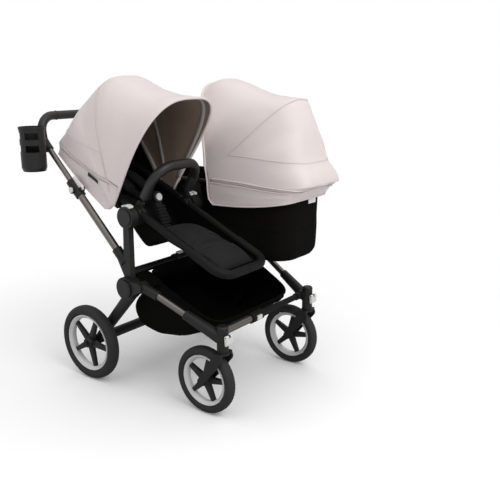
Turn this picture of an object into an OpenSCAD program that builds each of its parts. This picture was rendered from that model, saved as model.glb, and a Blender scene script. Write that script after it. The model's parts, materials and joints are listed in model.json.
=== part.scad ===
// Twin pram: a side by side chassis with a forward facing seat on its right
// and a carrycot on its left. Millimetres, +Z up, the pram's nose at -Y.
// The origin lies on the floor, midway between the axles.

/* [Wheels] */
// Diameter of a rear wheel over its tyre
rear_wheel_d = 305; // [285:1:315]
// Diameter of a front wheel over its tyre
front_wheel_d = 254; // [236:1:260]
// Width of a rear tyre
rear_tyre_w = 46; // [38:1:48]
// Width of a front tyre
front_tyre_w = 42; // [36:1:44]
// Height of a rear tyre's section
rear_tyre_h = 36; // [28:1:42]
// Height of a front tyre's section
front_tyre_h = 30; // [24:1:36]
// Depth of the rim between its outer and inner edge
rim_h = 13; // [8:1:18]
// Spokes in each wheel
spokes = 5; // [3:1:7]
// Width of a spoke where it meets the rim
spoke_w = 20; // [12:1:26]
// Radius of a wheel's hub barrel
wheel_hub_r = 19; // [16:1:24]
// Radius of every wheel axle
axle_r = 6; // [5:0.5:8]

/* [Chassis] */
// Distance between the front and rear axles
wheelbase = 560; // [540:1:590]
// From the middle to each side frame and rear wheel
frame_half = 338; // [334:1:344]
// How far the front wheels stand inside the rear ones
front_inset = 62; // [58:1:73]
// Height of the leg hubs
hub_z = 433; // [423:1:443]
// How far the leg hubs lie behind the middle
hub_y = 32; // [24:1:40]
// Radius of a leg hub
hub_r = 44; // [40:1:48]
// Radius of a leg hub's pin
hub_pin_r = 9; // [7:0.5:11]
// Thickness of an upright casting
upright_t = 24; // [20:1:26]
// Width of an upright at its top
upright_w = 28; // [24:1:34]
// Height of the sockets of seat and carrycot
joint_z = 700; // [690:1:710]
// How far the sockets lie behind the middle
joint_y = 26; // [20:1:32]
// Radius of a socket drum
joint_r = 40; // [37:1:44]
// Radius of the trunnions in the sockets
trunnion_r = 13; // [10:0.5:16]
// Radius of the crossbars
crossbar_r = 15; // [12:0.5:17]

/* [Legs] */
// Radius of the bare front leg tubes
front_tube_r = 13; // [11:0.5:14]
// Radius of the sockets on the front leg tubes
front_socket_r = 18; // [17:0.5:20]
// Height of the swivel bearings' middle
swivel_z = 302; // [296:1:308]
// Length of a swivel bearing
swivel_h = 92; // [80:1:100]
// Radius of a swivel bearing
swivel_r = 21; // [19:1:24]
// Distance from a swivel's axis back to its wheel's axle
trail = 80; // [72:1:86]
// Radius of a rear leg
rear_leg_r = 15; // [12:0.5:16]
// Radius of the rear axle beam
axle_beam_r = 15; // [12:0.5:16]
// Thickness of a fork's cheek
fork_cheek_t = 9; // [7:0.5:10]

/* [Handle] */
// Slope of the handle tubes above the floor
handle_slope = 44; // [42:1:46]
// Height of the handle tubes' line above the leg hubs
handle_rise = 77; // [74:1:84]
// Length of a handle tube from the hub up to its clamp
handle_tube_l = 345; // [330:1:355]
// Length of the stem above the foot of a handle tube's line
handle_stem_l = 632; // [615:1:645]
// Radius of the lower handle tubes
handle_tube_r = 14; // [13:0.5:15]
// Radius of the stems that slide in the tubes
stem_r = 11; // [9:0.5:11.5]
// Slope of the grip's legs
grip_slope = 82; // [70:1:88]
// Height of the grip bar above the stems' ends
grip_rise = 92; // [84:1:104]
// Radius of the grip bar
grip_r = 17; // [14:0.5:18]
// Bend radius at the grip's corners
grip_bend = 60; // [50:1:66]

/* [Seat] */
// How far each unit lies outside the middle of its half
unit_shift = 1; // [0:0.5:3]
// How far the seat's rails stay inside its half
rail_gap = 44; // [43:0.5:48]
// Radius of a seat rail
rail_r = 13; // [11:0.5:13.5]
// Slope of the seat frame, its foot end down
seat_slope = 24; // [18:1:28]
// Length of the seat frame ahead of its trunnions
foot_l = 440; // [420:1:460]
// Length of the seat frame behind its trunnions
head_l = 436; // [420:1:450]
// Bend radius at the corners of the seat frame
seat_bend = 58; // [45:1:70]
// Height of the rails above the trunnions
rail_rise = 18; // [14:1:22]
// Depth of the seat's hammock below its rails
hammock_depth = 122; // [112:1:135]
// Height of the bumper bar's arch
bumper_h = 160; // [140:1:180]
// Radius of the bumper bar's cover
bumper_r = 18; // [14:0.5:19]

/* [Seat canopy] */
// Reach of the canopy's middle bow from its pivot
canopy_reach = 466; // [450:1:475]
// Place of the canopy's pivot behind the trunnions, along the rails
canopy_back = 105; // [95:1:115]
// How far the canopy swells out at the sides
canopy_bulge = 52; // [30:1:54]
// Thickness of canopy and hood cloth
cloth_t = 3; // [2:0.5:3.5]

/* [Carrycot] */
// Length of the carrycot's tub
cot_l = 818; // [790:1:830]
// How much narrower the tub is than its half
cot_gap = 72; // [70:1:82]
// Height of the tub's rim
cot_rim_z = 796; // [780:1:800]
// Depth of the tub
cot_depth = 294; // [280:1:296]
// Place of the tub's front end ahead of the middle
cot_front = 412; // [400:1:414]
// Thickness of the tub's wall
cot_wall = 4; // [3:0.5:6]
// Thickness of the mattress
mattress_t = 42; // [30:1:50]
// Reach of the hood's front bow from its pivot
hood_reach = 450; // [435:1:460]

/* [Basket] */
// How much narrower the basket's back is than the frame
basket_gap = 132; // [128:1:156]
// How much narrower the basket's front is than the track
basket_front_draw = 72; // [62:1:92]
// Thickness of the basket's wall
basket_t = 4; // [3:0.5:6]

/* [Cup holder] */
// Radius of the cup's bore
cup_r = 44; // [38:0.5:45]
// Height of the cup
cup_h = 168; // [150:1:175]
// Thickness of the cup's wall
cup_wall = 3.5; // [3:0.5:5]

/* [Fits] */
// Radial clearance of pins and shafts that turn
run_fit = 0.08; // [0.05:0.01:0.1]
// Clearance between pieces that slide or only lie close
gap = 0.3; // [0.2:0.05:0.5]
// Travel of a push button
button_travel = 4; // [3:0.5:4.5]

/* [Hidden] */
$fn = 64;
rear_track = 2 * frame_half;
front_track = rear_track - 2 * front_inset;
seat_x = frame_half / 2 + unit_shift;
rail_half = seat_x - rail_gap;
cot_w = 2 * seat_x - cot_gap;
basket_w = 2 * frame_half - basket_gap;
basket_front_w = front_track - basket_front_draw;

// Colours
black = "#1c1b1b";
graphite = "#6d6761";
cream = "#e9e1de";
blush = "#d8cac4";
charcoal = "#39373a";
white = "#f1f1ef";

// One overrun for every cut
over = 1;

// Places of the axles, the hubs and the sockets
rear_axle_y = wheelbase / 2;
front_axle_y = -wheelbase / 2;
rear_axle_z = rear_wheel_d / 2;
front_axle_z = front_wheel_d / 2;
hub = [hub_y, hub_z];
joint = [joint_y, joint_z];

// Layers of a leg hub, from the middle outwards
upright_in = frame_half - upright_t / 2;
upright_out = frame_half + upright_t / 2;
layer_gap = 1.5;
arm_disc_t = 14.5;
arm_disc_in = upright_out + layer_gap;
arm_disc_out = arm_disc_in + arm_disc_t;
leg_eye_out = upright_in - layer_gap;
leg_eye_t = 34;
leg_eye_in = leg_eye_out - leg_eye_t;
pin_head_t = 4;
hub_cap_t = 7;
hub_cap_share = 0.8;
hub_cap_r = hub_r * hub_cap_share;

// Socket drums
drum_w = 32;
drum_in = frame_half - drum_w / 2;
socket_depth = 18;
centre_drum_half = 22;
centre_socket_depth = 14;

// Handle line: a point at a distance up the slope from above the hub
handle_dir = [cos(handle_slope), sin(handle_slope)];
handle_normal = [-sin(handle_slope), cos(handle_slope)];
handle_foot = [hub_y, hub_z + handle_rise];
function on_handle(s, off = 0) = handle_foot + s * handle_dir + off * handle_normal;
collar_start = 22;
collar_l = 64;
collar_wall = 5;
clamp_l = 74;
clamp_wall = 6;
clamp_mouth = 8;
stem_inside = 120;
stem_end = on_handle(handle_stem_l);
grip_dir = [cos(grip_slope), sin(grip_slope)];
grip_at = stem_end + grip_rise * grip_dir;

// Rear crossbar, above the hubs
bar_back = 8;
bar_sink = 6;
rear_bar = [hub_y + bar_back, hub_z + hub_r + crossbar_r - bar_sink];

// Front legs: the bend at the hub's socket, the tube and the swivel
swivel_y = front_axle_y - trail;
swivel_x = front_track / 2;
arm_root_up = 16;
arm_root_ahead = 24;
arm_root_out = 5;
arm_root = [frame_half + arm_root_out, hub_y - hub_r - arm_root_ahead, hub_z + arm_root_up];
arm_end_ahead = 101;
arm_end_in = 3;
arm_end_down = 7;
arm_end = [frame_half - arm_end_in, hub_y - hub_r - arm_end_ahead, hub_z - arm_end_down];
knuckle_hit = [swivel_x, swivel_y, swivel_z];
tube_dir = (knuckle_hit - arm_end) / norm(knuckle_hit - arm_end);
bare_tube_l = 118;
tube_seat = 36;
arm_seat = 16;
knuckle_start = arm_end + bare_tube_l * tube_dir;
front_bar_back = 20;
front_bar_up = 17;
front_bar = [swivel_y + front_bar_back, swivel_z + front_bar_up];
front_boss_l = 8;
front_bar_half = swivel_x - swivel_r - front_boss_l;

// Rear legs and axle beam
leg_inset = 11;
leg_x = leg_eye_in + rear_leg_r - leg_inset;
beam_up = 9;
beam_ahead = 18;
beam = [rear_axle_y - beam_ahead, rear_axle_z + beam_up];
axle_block_r = 20;
axle_nut_t = 5;
axle_nut_lip = 4;
axle_nut_r = axle_r + axle_nut_lip;

// Seat frame in its own slope: Y along the rails to the head, Z off them
pivot_r = 36;
pivot_lip = 2.5;
pivot_wall = 4;
pivot_half = rail_half + rail_r;
pivot_inner_half = rail_half - rail_r + gap;
bumper_ear_lift = 7;
bumper_ear_r = 12;
bumper_axis = [0, rail_rise + rail_r + bumper_ear_r + bumper_ear_lift];
bumper_ear_t = 10;
bumper_half = rail_half - bumper_ear_t;
bumper_lean = 8;
bumper_bend = 80;
bumper_pin_r = 5;
hammock_t = 8;
side_t = 4;
side_half = rail_half - rail_r - pivot_wall - gap;
foot_drop = 12;
crease_share = 0.71;
crease_y = -foot_l * crease_share;
crease_z = rail_rise - rail_r - foot_drop;
foot_inset_share = 0.25;
hammock_front = [-foot_l + seat_bend * foot_inset_share, crease_z];
pan_end = [-143, -31];
pan_drop = [-97, -63];
low_y = -68;
hammock_low = rail_rise - hammock_depth;
heel_y = -15;
heel_lift = 12;
lumbar = [120, -40];
back_drop = 14;
back_top = [head_l - seat_bend, rail_rise - rail_r - back_drop];
hammock = [
    hammock_front, [crease_y, crease_z], pan_end, pan_drop, [low_y, hammock_low],
    [heel_y, hammock_low + heel_lift], lumbar, back_top
];

// Canopy bows: angles from the rails, and reach as shares of the middle bow's
canopy_pivot_drop = 26;
canopy_at = [canopy_back, rail_rise - canopy_pivot_drop];
canopy_room = 0.7;
canopy_half = pivot_half + gap + cloth_t + canopy_room;
canopy_power = 3.6;
shell_powers = [14, 9, 7, 4.6, 2.9, 2.8, 2.8];
visor_powers = [2.8, 2.8, 2.8, 2.8, 2.8, 2.9, 3.2, 3.6];
shell_bulge_shares = [0, 0.05, 0.15, 0.6, 1, 1, 1];
hem_drop = 44;
hem_rise = 76;
hem_power = 1.6;
canopy_start_share = 0.05;
shell_angles = [6, 11, 16, 27, 38, 46, 52];
shell_reach_shares = [0.795, 0.834, 0.83, 0.842, 0.908, 0.941, 0.969];
visor_angles = [52.6, 60, 68, 76, 84, 91, 96, 100.6];
visor_reach_shares = [0.973, 0.99, 0.944, 0.91, 0.91, 0.931, 0.968, 1];
bow_angle = 101.5;
bow_reach_share = 1.016;
bow_start_share = 0.022;
hoop_steps = 26;
bow_t = 4;
bow_room = 2;
bow_out = bow_t + bow_room;
hub_disc_r = 13;
hub_disc_t = 2.7;
canopy_pin_r = 5;

// Hood bows on the carrycot: angles from the rear, reach as shares
hood_pivot_ahead = 65;
hood_pivot_rise = 9;
hood_at = [-hood_pivot_ahead, cot_rim_z + hood_pivot_rise];
rim_flange = 8;
hood_room = 1;
hood_half = cot_w / 2 + rim_flange + hood_room + cloth_t;
hood_power = 2.8;
hood_front_powers = [2.8, 2.8, 3, 4.4, 5.2, 6.4, 8];
skirt_power = 10;
hood_bow_angle = 75;
hood_bow_reach_share = 0.818;
hood_visor_angles = [76.6, 86, 97, 108, 119, 129, 135.4];
hood_visor_reach_shares = [0.8, 0.827, 0.8, 0.788, 0.812, 0.889, 0.968];
hood_front_angles = [136, 143, 151, 160, 169, 175, 180];
hood_front_reach_shares = [0.971, 0.949, 0.923, 0.888, 0.886, 0.934, 0.948];
skirt_drop = 104;
skirt_drops = [skirt_drop * 0.15, skirt_drop * 0.55, skirt_drop];
skirt_reach_shares = [0.9, 0.845, 0.8];
skirt_rise_share = 0.42;

// Carrycot tub: a rounded plan that draws in to its floor
cot_back = cot_l - cot_front;
cot_mid_y = cot_l / 2 - cot_front;
cot_corner = 72;
cot_draft = 12;
rim_flange_t = 10;
plan_steps = 40;
cot_level_shares = [0, 0.03, 0.12, 0.5, 1];
cot_inset_shares = [2.6, 1.3, 0.3, 0.1, 0];
lug_h = 22;
lug_t = 12;

// Basket: a sling whose rim slopes from the rear bar to the front bar
basket_back_y = rear_bar[0] - crossbar_r - collar_wall - gap;
basket_front_gap = 24;
basket_front_y = front_bar[0] + crossbar_r + basket_front_gap;
basket_back_drop = 4;
basket_back_z = rear_bar[1] - basket_back_drop;
basket_front_lift = 8;
basket_front_z = front_bar[1] + basket_front_lift;
basket_fronts = [[0, 0], [1, -11], [5, -22], [28, -34], [101, -66], [206, -106]];
basket_backs = [[0, 0], [-2, -36], [64, -97], [112, -166], [76, -230], [0, -268]];
basket_draw_shares = [1, 1, 1, 0.99, 0.95, 0.82];

// Cup holder beside the right hand stem
cup_gap = 9;
cup_x = -(frame_half + stem_r + cup_gap + cup_r + cup_wall);
cup_down = 34;
cup_at = handle_stem_l - cup_down;
cup_mid = on_handle(cup_at);
cup_below_share = 0.52;
cup_low = cup_mid[1] - cup_h * cup_below_share;

// Straight line helpers
function lift(p, x) = [x, p[0], p[1]];
function mix(a, b, t) = a + (b - a) * t;
function sgn_pow(v, p) = sign(v) * pow(abs(v), p);

// A round bar, or a cone, between two points
module rod(a, b, r, r2 = undef) {
    d = b - a;
    translate(a)
        rotate([0, acos(d[2] / norm(d)), atan2(d[1], d[0])])
            cylinder(h = norm(d), r1 = r, r2 = is_undef(r2) ? r : r2);
}

// A flat strap between two points
module strap(a, b, w, t) {
    d = b - a;
    translate(a)
        rotate([0, acos(d[2] / norm(d)), atan2(d[1], d[0])])
            translate([-t / 2, -w / 2, 0])
                cube([t, w, norm(d)]);
}

// A profile drawn in Y and Z, extruded from one X to another
module across(x0, x1) {
    translate([x0, 0, 0])
        rotate([90, 0, 90])
            linear_extrude(x1 - x0)
                children();
}

// A round disc on an axis along X
module disc(x0, x1, at, r) {
    translate([x0, at[0], at[1]])
        rotate([0, 90, 0])
            cylinder(h = x1 - x0, r = r);
}

// Both sides of the pram, drawn once at +X
module both() {
    children();
    mirror([1, 0, 0]) children();
}

// Outline round two circles
function blade(a, ra, b, rb, n = 16) =
    let (d = b - a, base = atan2(d[1], d[0]), open = acos((ra - rb) / norm(d)))
    concat(
        [for (i = [0:n]) let (t = base + open + (360 - 2 * open) * i / n) a + ra * [cos(t), sin(t)]],
        [for (i = [0:n]) let (t = base - open + 2 * open * i / n) b + rb * [cos(t), sin(t)]]
    );

// A tube bent to a U: two legs from z = 0, round corners and a straight top
module bow_tube(half, h, bend, r) {
    for (s = [-1, 1]) {
        if (h > bend) translate([s * half, 0, 0]) cylinder(h = h - bend, r = r);
        translate([s * (half - bend), 0, h - bend])
            rotate([90, 0, 0])
                rotate([0, 0, s > 0 ? 0 : 90])
                    rotate_extrude(angle = 90)
                        translate([bend, 0]) circle(r = r);
    }
    translate([bend - half, 0, h])
        rotate([0, 90, 0])
            cylinder(h = 2 * (half - bend), r = r);
}

// Faces of a closed skin between two grids with the same rows and columns
function grid_at(k, i, j, rows, cols) = k * rows * cols + i * cols + j;
function grid_faces(rows, cols) = concat(
    [for (k = [0, 1], i = [0:rows - 2], j = [0:cols - 2], h = [0, 1])
        let (a = grid_at(k, i, j, rows, cols), b = grid_at(k, i, j + 1, rows, cols),
             c = grid_at(k, i + 1, j + 1, rows, cols), d = grid_at(k, i + 1, j, rows, cols),
             f = h == 0 ? [a, b, c] : [a, c, d])
        k == 0 ? f : [f[2], f[1], f[0]]],
    [for (e = [0, 1], i = [0:rows - 2], h = [0, 1])
        let (j = e * (cols - 1),
             a = grid_at(0, i, j, rows, cols), b = grid_at(0, i + 1, j, rows, cols),
             c = grid_at(1, i + 1, j, rows, cols), d = grid_at(1, i, j, rows, cols),
             f = h == 0 ? [a, b, c] : [a, c, d])
        e == 0 ? f : [f[2], f[1], f[0]]],
    [for (e = [0, 1], j = [0:cols - 2], h = [0, 1])
        let (i = e * (rows - 1),
             a = grid_at(0, i, j, rows, cols), b = grid_at(0, i, j + 1, rows, cols),
             c = grid_at(1, i, j + 1, rows, cols), d = grid_at(1, i, j, rows, cols),
             f = h == 0 ? [a, b, c] : [a, c, d])
        e == 1 ? f : [f[2], f[1], f[0]]]
);
module skin(outer, inner) {
    rows = len(outer);
    cols = len(outer[0]);
    points = [for (g = [outer, inner], row = g, p = row) p];
    polyhedron(points = points, faces = [for (f = grid_faces(rows, cols)) [f[2], f[1], f[0]]]);
}

// A stack of closed rings, capped at both ends
function ring_faces(rows, cols) = concat(
    [for (i = [0:rows - 2], j = [0:cols - 1], h = [0, 1])
        let (n = (j + 1) % cols, a = i * cols + j, b = i * cols + n,
             c = (i + 1) * cols + n, d = (i + 1) * cols + j)
        h == 0 ? [a, c, b] : [a, d, c]],
    [for (j = [1:cols - 2]) [0, j, j + 1]],
    [for (j = [1:cols - 2]) let (b = (rows - 1) * cols) [b, b + j + 1, b + j]]
);
module stack(rings) {
    rows = len(rings);
    cols = len(rings[0]);
    polyhedron(points = [for (r = rings, p = r) p], faces = ring_faces(rows, cols));
}

// A bow of cloth: a rounded arch from one side of the pivot to the other
function arch(at, angle, reach, half, power, t, bulge = 0) =
    let (k = pow(pow(abs(cos(t)), power) + pow(abs(sin(t)), power), -1 / power), h = k * sin(t))
    [(half + bulge * h) * k * cos(t), at[0] + reach * h * cos(angle), at[1] + reach * h * sin(angle)];
arch_edge = atan(canopy_start_share);
arch_turns = [for (i = [0:hoop_steps]) mix(arch_edge, 180 - arch_edge, i / hoop_steps)];
function hood_arch(at, angle, reach, half, power, bulge = 0) =
    [for (t = arch_turns) arch(at, angle, reach, half, power, t, bulge)];

// Wheels, drawn about X with the middle at the origin
module wheel_body(d, tyre_h, tyre_w) {
    rim_out = d / 2 - tyre_h - gap;
    rim_in = rim_out - rim_h;
    rim_half = tyre_w * rim_width_share / 2;
    barrel = rim_h * rim_barrel_share;
    rotate([0, 90, 0]) {
        color(cream)
            rotate_extrude()
                polygon([
                    [rim_in, -rim_half], [rim_out, -rim_half], [rim_out, rim_half], [rim_in, rim_half],
                    [rim_in + barrel, rim_half - barrel], [rim_in + barrel, barrel - rim_half]
                ]);
        color(black) {
            for (i = [0:spokes - 1])
                rotate([0, 0, 360 * i / spokes])
                    translate([0, 0, -spoke_t / 2])
                        linear_extrude(spoke_t)
                            polygon([
                                [0, -spoke_w * spoke_root_share], [rim_in + barrel + over, -spoke_w / 2],
                                [rim_in + barrel + over, spoke_w / 2], [0, spoke_w * spoke_root_share]
                            ]);
            difference() {
                cylinder(h = tyre_w * hub_width_share, r = wheel_hub_r, center = true);
                cylinder(h = tyre_w + over, r = axle_r + run_fit, center = true);
            }
        }
    }
}
rim_width_share = 0.72;
rim_barrel_share = 0.55;
hub_width_share = 0.98;
spoke_t = 15;
spoke_root_share = 0.36;

// A wheel needs its bore clear through hub and spokes
module wheel(d, tyre_h, tyre_w) {
    difference() {
        wheel_body(d, tyre_h, tyre_w);
        rotate([0, 90, 0])
            color(black) cylinder(h = tyre_w + over, r = axle_r + run_fit, center = true);
    }
}

// A tyre: a rounded section with a flat seat on its rim
tyre_steps = 20;
tyre_power = 2.5;
module tyre(d, h, w) {
    color(black)
        rotate([0, 90, 0])
            rotate_extrude()
                difference() {
                    polygon([for (i = [0:tyre_steps - 1]) let (t = 360 * i / tyre_steps)
                        [d / 2 - h / 2 + h / 2 * sgn_pow(cos(t), 2 / tyre_power),
                         w / 2 * sgn_pow(sin(t), 2 / tyre_power)]]);
                    translate([0, -w]) square([d / 2 - h + gap, 2 * w]);
                }
}
module at_front(s) { translate([s * swivel_x, front_axle_y, front_axle_z]) children(); }
module at_rear(s) { translate([s * rear_track / 2, rear_axle_y, rear_axle_z]) children(); }
module front_wheel_right() { at_front(-1) wheel(front_wheel_d, front_tyre_h, front_tyre_w); }
module front_wheel_left() { at_front(1) wheel(front_wheel_d, front_tyre_h, front_tyre_w); }
module front_tyre_right() { at_front(-1) tyre(front_wheel_d, front_tyre_h, front_tyre_w); }
module front_tyre_left() { at_front(1) tyre(front_wheel_d, front_tyre_h, front_tyre_w); }
module rear_wheel_right() { at_rear(-1) wheel(rear_wheel_d, rear_tyre_h, rear_tyre_w); }
module rear_wheel_left() { at_rear(1) wheel(rear_wheel_d, rear_tyre_h, rear_tyre_w); }
module rear_tyre_right() { at_rear(-1) tyre(rear_wheel_d, rear_tyre_h, rear_tyre_w); }
module rear_tyre_left() { at_rear(1) tyre(rear_wheel_d, rear_tyre_h, rear_tyre_w); }

// Upright casting: hub eye, post, socket drum and the collar of the handle tube
module uprights() {
    color(black)
        both()
            difference() {
                union() {
                    disc(upright_in, upright_out, hub, hub_r);
                    across(upright_in, upright_out)
                        polygon(blade(hub, upright_w / 2 + post_flare, joint, upright_w / 2));
                    disc(drum_in, drum_in + drum_w, joint, joint_r);
                    across(upright_in, upright_out)
                        polygon(blade([hub_y, hub_z + hub_r], upright_w / 2,
                            on_handle(collar_start + collar_l / 2),
                            handle_tube_r));
                    rod(lift(on_handle(collar_start), frame_half),
                        lift(on_handle(collar_start + collar_l), frame_half), handle_tube_r + collar_wall);
                }
                disc(upright_in - over, upright_out + over, hub, hub_pin_r + run_fit);
                disc(drum_in - over, drum_in + socket_depth, joint, trunnion_r + run_fit);
                rod(lift(on_handle(collar_start + collar_l * collar_floor_share), frame_half),
                    lift(on_handle(collar_start + collar_l + over), frame_half), handle_tube_r + run_fit);
                disc(upright_in - bar_spigot, upright_in + bar_spigot, rear_bar, crossbar_r + run_fit);
                release_pocket(frame_half);
            }
}
post_flare = 4;
collar_floor_share = 0.2;
bar_spigot = 6;

// Release button: a cap on the drum's top that sinks into a pocket
release_w = 38;
release_t = 22;
release_cap = 6;
pocket_share = 0.7;
module release_pocket(x) {
    translate([x - release_t / 2 - gap, joint_y - release_w / 2 - gap, joint_z + joint_r * pocket_share])
        cube([release_t + 2 * gap, release_w + 2 * gap, joint_r]);
}
module release_cap_at(x, t) {
    color(white)
        intersection() {
            disc(x - t / 2, x + t / 2, joint, joint_r + release_cap);
            translate([x - t / 2, joint_y - release_w / 2,
                joint_z + joint_r * pocket_share + button_travel + over])
                cube([t, release_w, joint_r]);
        }
}
module release_right() { release_cap_at(-frame_half, release_t); }
module release_left() { release_cap_at(frame_half, release_t); }

// Hub pins with their outer caps and inner heads
module hub_pins() {
    color(black)
        both() {
            disc(leg_eye_in - pin_head_t, arm_disc_out + hub_cap_t, hub, hub_pin_r);
            disc(arm_disc_out + gap, arm_disc_out + hub_cap_t, hub, hub_cap_r);
            disc(leg_eye_in - gap - pin_head_t, leg_eye_in - gap, hub, hub_pin_r + pin_head_t);
        }
}

// Lower handle tubes
module handle_tubes() {
    color(graphite)
        both()
            difference() {
                rod(lift(on_handle(collar_start + collar_l * collar_floor_share + gap), frame_half),
                    lift(on_handle(handle_tube_l + clamp_l - clamp_mouth - gap), frame_half),
                        handle_tube_r);
                rod(lift(on_handle(collar_start), frame_half),
                    lift(on_handle(handle_tube_l + clamp_l), frame_half), stem_r + gap);
            }
}

// Clamps on the tubes' upper ends, with ears for the lever and a boss for the button
lever_at = 14;
lever_l = 56;
lever_w = 12;
lever_t = 8;
lever_off = 26;
lever_pin_r = 3;
ear_t = 4;
ear_r = 7;
boss_r = 15;
boss_at = 34;
boss_out = 25;
button_r = 10.5;
button_t = 10;
button_proud = 4.5;
module clamps() {
    color(black)
        both()
            difference() {
                union() {
                    rod(lift(on_handle(handle_tube_l), frame_half),
                        lift(on_handle(handle_tube_l + clamp_l), frame_half), handle_tube_r + clamp_wall);
                    disc(frame_half, frame_half + boss_out, on_handle(handle_tube_l + boss_at), boss_r);
                    for (s = [-1, 1])
                        across(frame_half + s * (lever_w / 2 + gap + ear_t / 2) - ear_t / 2,
                               frame_half + s * (lever_w / 2 + gap + ear_t / 2) + ear_t / 2)
                            polygon(blade(on_handle(handle_tube_l + lever_at), ear_r + ear_t,
                                on_handle(handle_tube_l + lever_at, lever_off), ear_r));
                    disc(frame_half - lever_w / 2 - ear_t, frame_half + lever_w / 2 + ear_t,
                        on_handle(handle_tube_l + lever_at, lever_off), lever_pin_r);
                }
                rod(lift(on_handle(handle_tube_l - over), frame_half),
                    lift(on_handle(handle_tube_l + clamp_l - clamp_mouth), frame_half),
                        handle_tube_r + run_fit);
                rod(lift(on_handle(handle_tube_l), frame_half),
                    lift(on_handle(handle_tube_l + clamp_l + over), frame_half), stem_r + gap);
                disc(frame_half + boss_out - button_t - button_travel + button_proud,
                    frame_half + boss_out + over,
                    on_handle(handle_tube_l + boss_at), button_r + gap);
            }
}
module fold_button(s) {
    color(white)
        mirror([s < 0 ? 1 : 0, 0, 0])
            disc(frame_half + boss_out - button_t + button_proud, frame_half + boss_out + button_proud,
                on_handle(handle_tube_l + boss_at), button_r);
}
module fold_button_right() { fold_button(-1); }
module fold_button_left() { fold_button(1); }
module clamp_lever(s) {
    color(white)
        mirror([s < 0 ? 1 : 0, 0, 0])
            difference() {
                across(frame_half - lever_w / 2, frame_half + lever_w / 2)
                    polygon(blade(on_handle(handle_tube_l + lever_at, lever_off),
                        lever_t / 2 + lever_pin_r / 2,
                        on_handle(handle_tube_l + lever_at + lever_l, lever_off), lever_t / 2));
                disc(frame_half - lever_w, frame_half + lever_w,
                    on_handle(handle_tube_l + lever_at, lever_off), lever_pin_r + run_fit);
            }
}
module clamp_lever_right() { clamp_lever(-1); }
module clamp_lever_left() { clamp_lever(1); }

// Stems that slide in the handle tubes
module handle_stems() {
    color(graphite)
        both()
            rod(lift(on_handle(handle_tube_l - stem_inside), frame_half), lift(stem_end, frame_half),
                stem_r);
}

// Grip: a covered bow across both stems
stem_cover = 16;
ball_lip = 1;
module handle_grip() {
    color(black)
        difference() {
            union() {
                translate([0, stem_end[0], stem_end[1]])
                    rotate([grip_slope - 90, 0, 0])
                        bow_tube(frame_half, grip_rise, grip_bend, grip_r);
                both() {
                    translate(lift(stem_end, frame_half)) sphere(r = grip_r + ball_lip);
                    rod(lift(on_handle(handle_stem_l - stem_cover), frame_half), lift(stem_end,
                        frame_half), grip_r);
                }
            }
            both()
                rod(lift(on_handle(handle_stem_l - stem_cover - grip_r), frame_half),
                    lift(on_handle(handle_stem_l + gap), frame_half), stem_r + gap);
        }
}

// Rear crossbar: a sleeve, the tube that slides in it, and the lock's collar
sleeve_wall = 3;
sleeve_end = 60;
collar_half = 34;
collar_at = -58;
collar_r = crossbar_r + collar_wall;
module crossbar(at, half, end_gap) {
    rod([-half + end_gap, at[0], at[1]], [sleeve_end, at[0], at[1]], crossbar_r);
    rod([sleeve_end, at[0], at[1]], [half - end_gap, at[0], at[1]], crossbar_r - sleeve_wall);
    rod([collar_at - collar_half, at[0], at[1]], [collar_at + collar_half, at[0], at[1]], collar_r);
}
module rear_crossbar() {
    color(black)
        difference() {
            union() {
                crossbar(rear_bar, upright_in, 0);
                rod(lift(rear_bar, upright_in - spigot_l), lift(rear_bar, upright_in), crossbar_r);
                rod(lift(rear_bar, -upright_in - bar_spigot + gap), lift(rear_bar, -upright_in),
                    crossbar_r);
                rod(lift(rear_bar, upright_in), lift(rear_bar, upright_in + bar_spigot - gap), crossbar_r);
            }
            width_pocket(rear_bar, 0);
        }
}
spigot_l = 30;

// Width lock: a button let into the collar, on top of one bar and ahead of the other
width_w = 26;
width_d = 18;
width_deep = 12;
width_proud = 4.5;
module width_place(at, turn) {
    translate([collar_at, at[0], at[1]]) rotate([turn, 0, 0]) children();
}
module width_pocket(at, turn) {
    width_place(at, turn)
        translate([-width_w / 2 - gap, -width_d / 2 - gap, collar_r - width_deep])
            cube([width_w + 2 * gap, width_d + 2 * gap, collar_r]);
}
module width_cap(at, turn) {
    color(white)
        width_place(at, turn)
            translate([-width_w / 2, -width_d / 2, collar_r - width_deep + button_travel + over])
                cube([width_w, width_d, width_deep - button_travel - over + width_proud]);
}
module width_button_rear() { width_cap(rear_bar, 0); }
module width_button_front() { width_cap(front_bar, 90); }

// Centre post on the rear crossbar, with a drum that both units share
foot_half = 20;
post_t = 26;
module centre_post() {
    color(black)
        difference() {
            union() {
                disc(-centre_drum_half, centre_drum_half, joint, joint_r);
                across(-post_t / 2, post_t / 2)
                    polygon(blade(rear_bar, crossbar_r + collar_wall, joint, upright_w / 2));
                disc(-foot_half, foot_half, rear_bar, crossbar_r + collar_wall);
            }
            disc(-foot_half - over, foot_half + over, rear_bar, crossbar_r + run_fit);
            for (s = [-1, 1])
                disc(s * centre_drum_half - centre_socket_depth,
                    s * centre_drum_half + centre_socket_depth, joint,
                    trunnion_r + run_fit);
            for (s = [-1, 1])
                translate([s * centre_drum_half / 2 - centre_cap_t / 2 - gap, joint_y - release_w / 2 - gap,
                           joint_z + joint_r * pocket_share])
                    cube([centre_cap_t + 2 * gap, release_w + 2 * gap, joint_r]);
        }
}
centre_cap_t = 15;
module centre_release_seat() { release_cap_at(-centre_drum_half / 2, centre_cap_t); }
module centre_release_cot() { release_cap_at(centre_drum_half / 2, centre_cap_t); }

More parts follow.
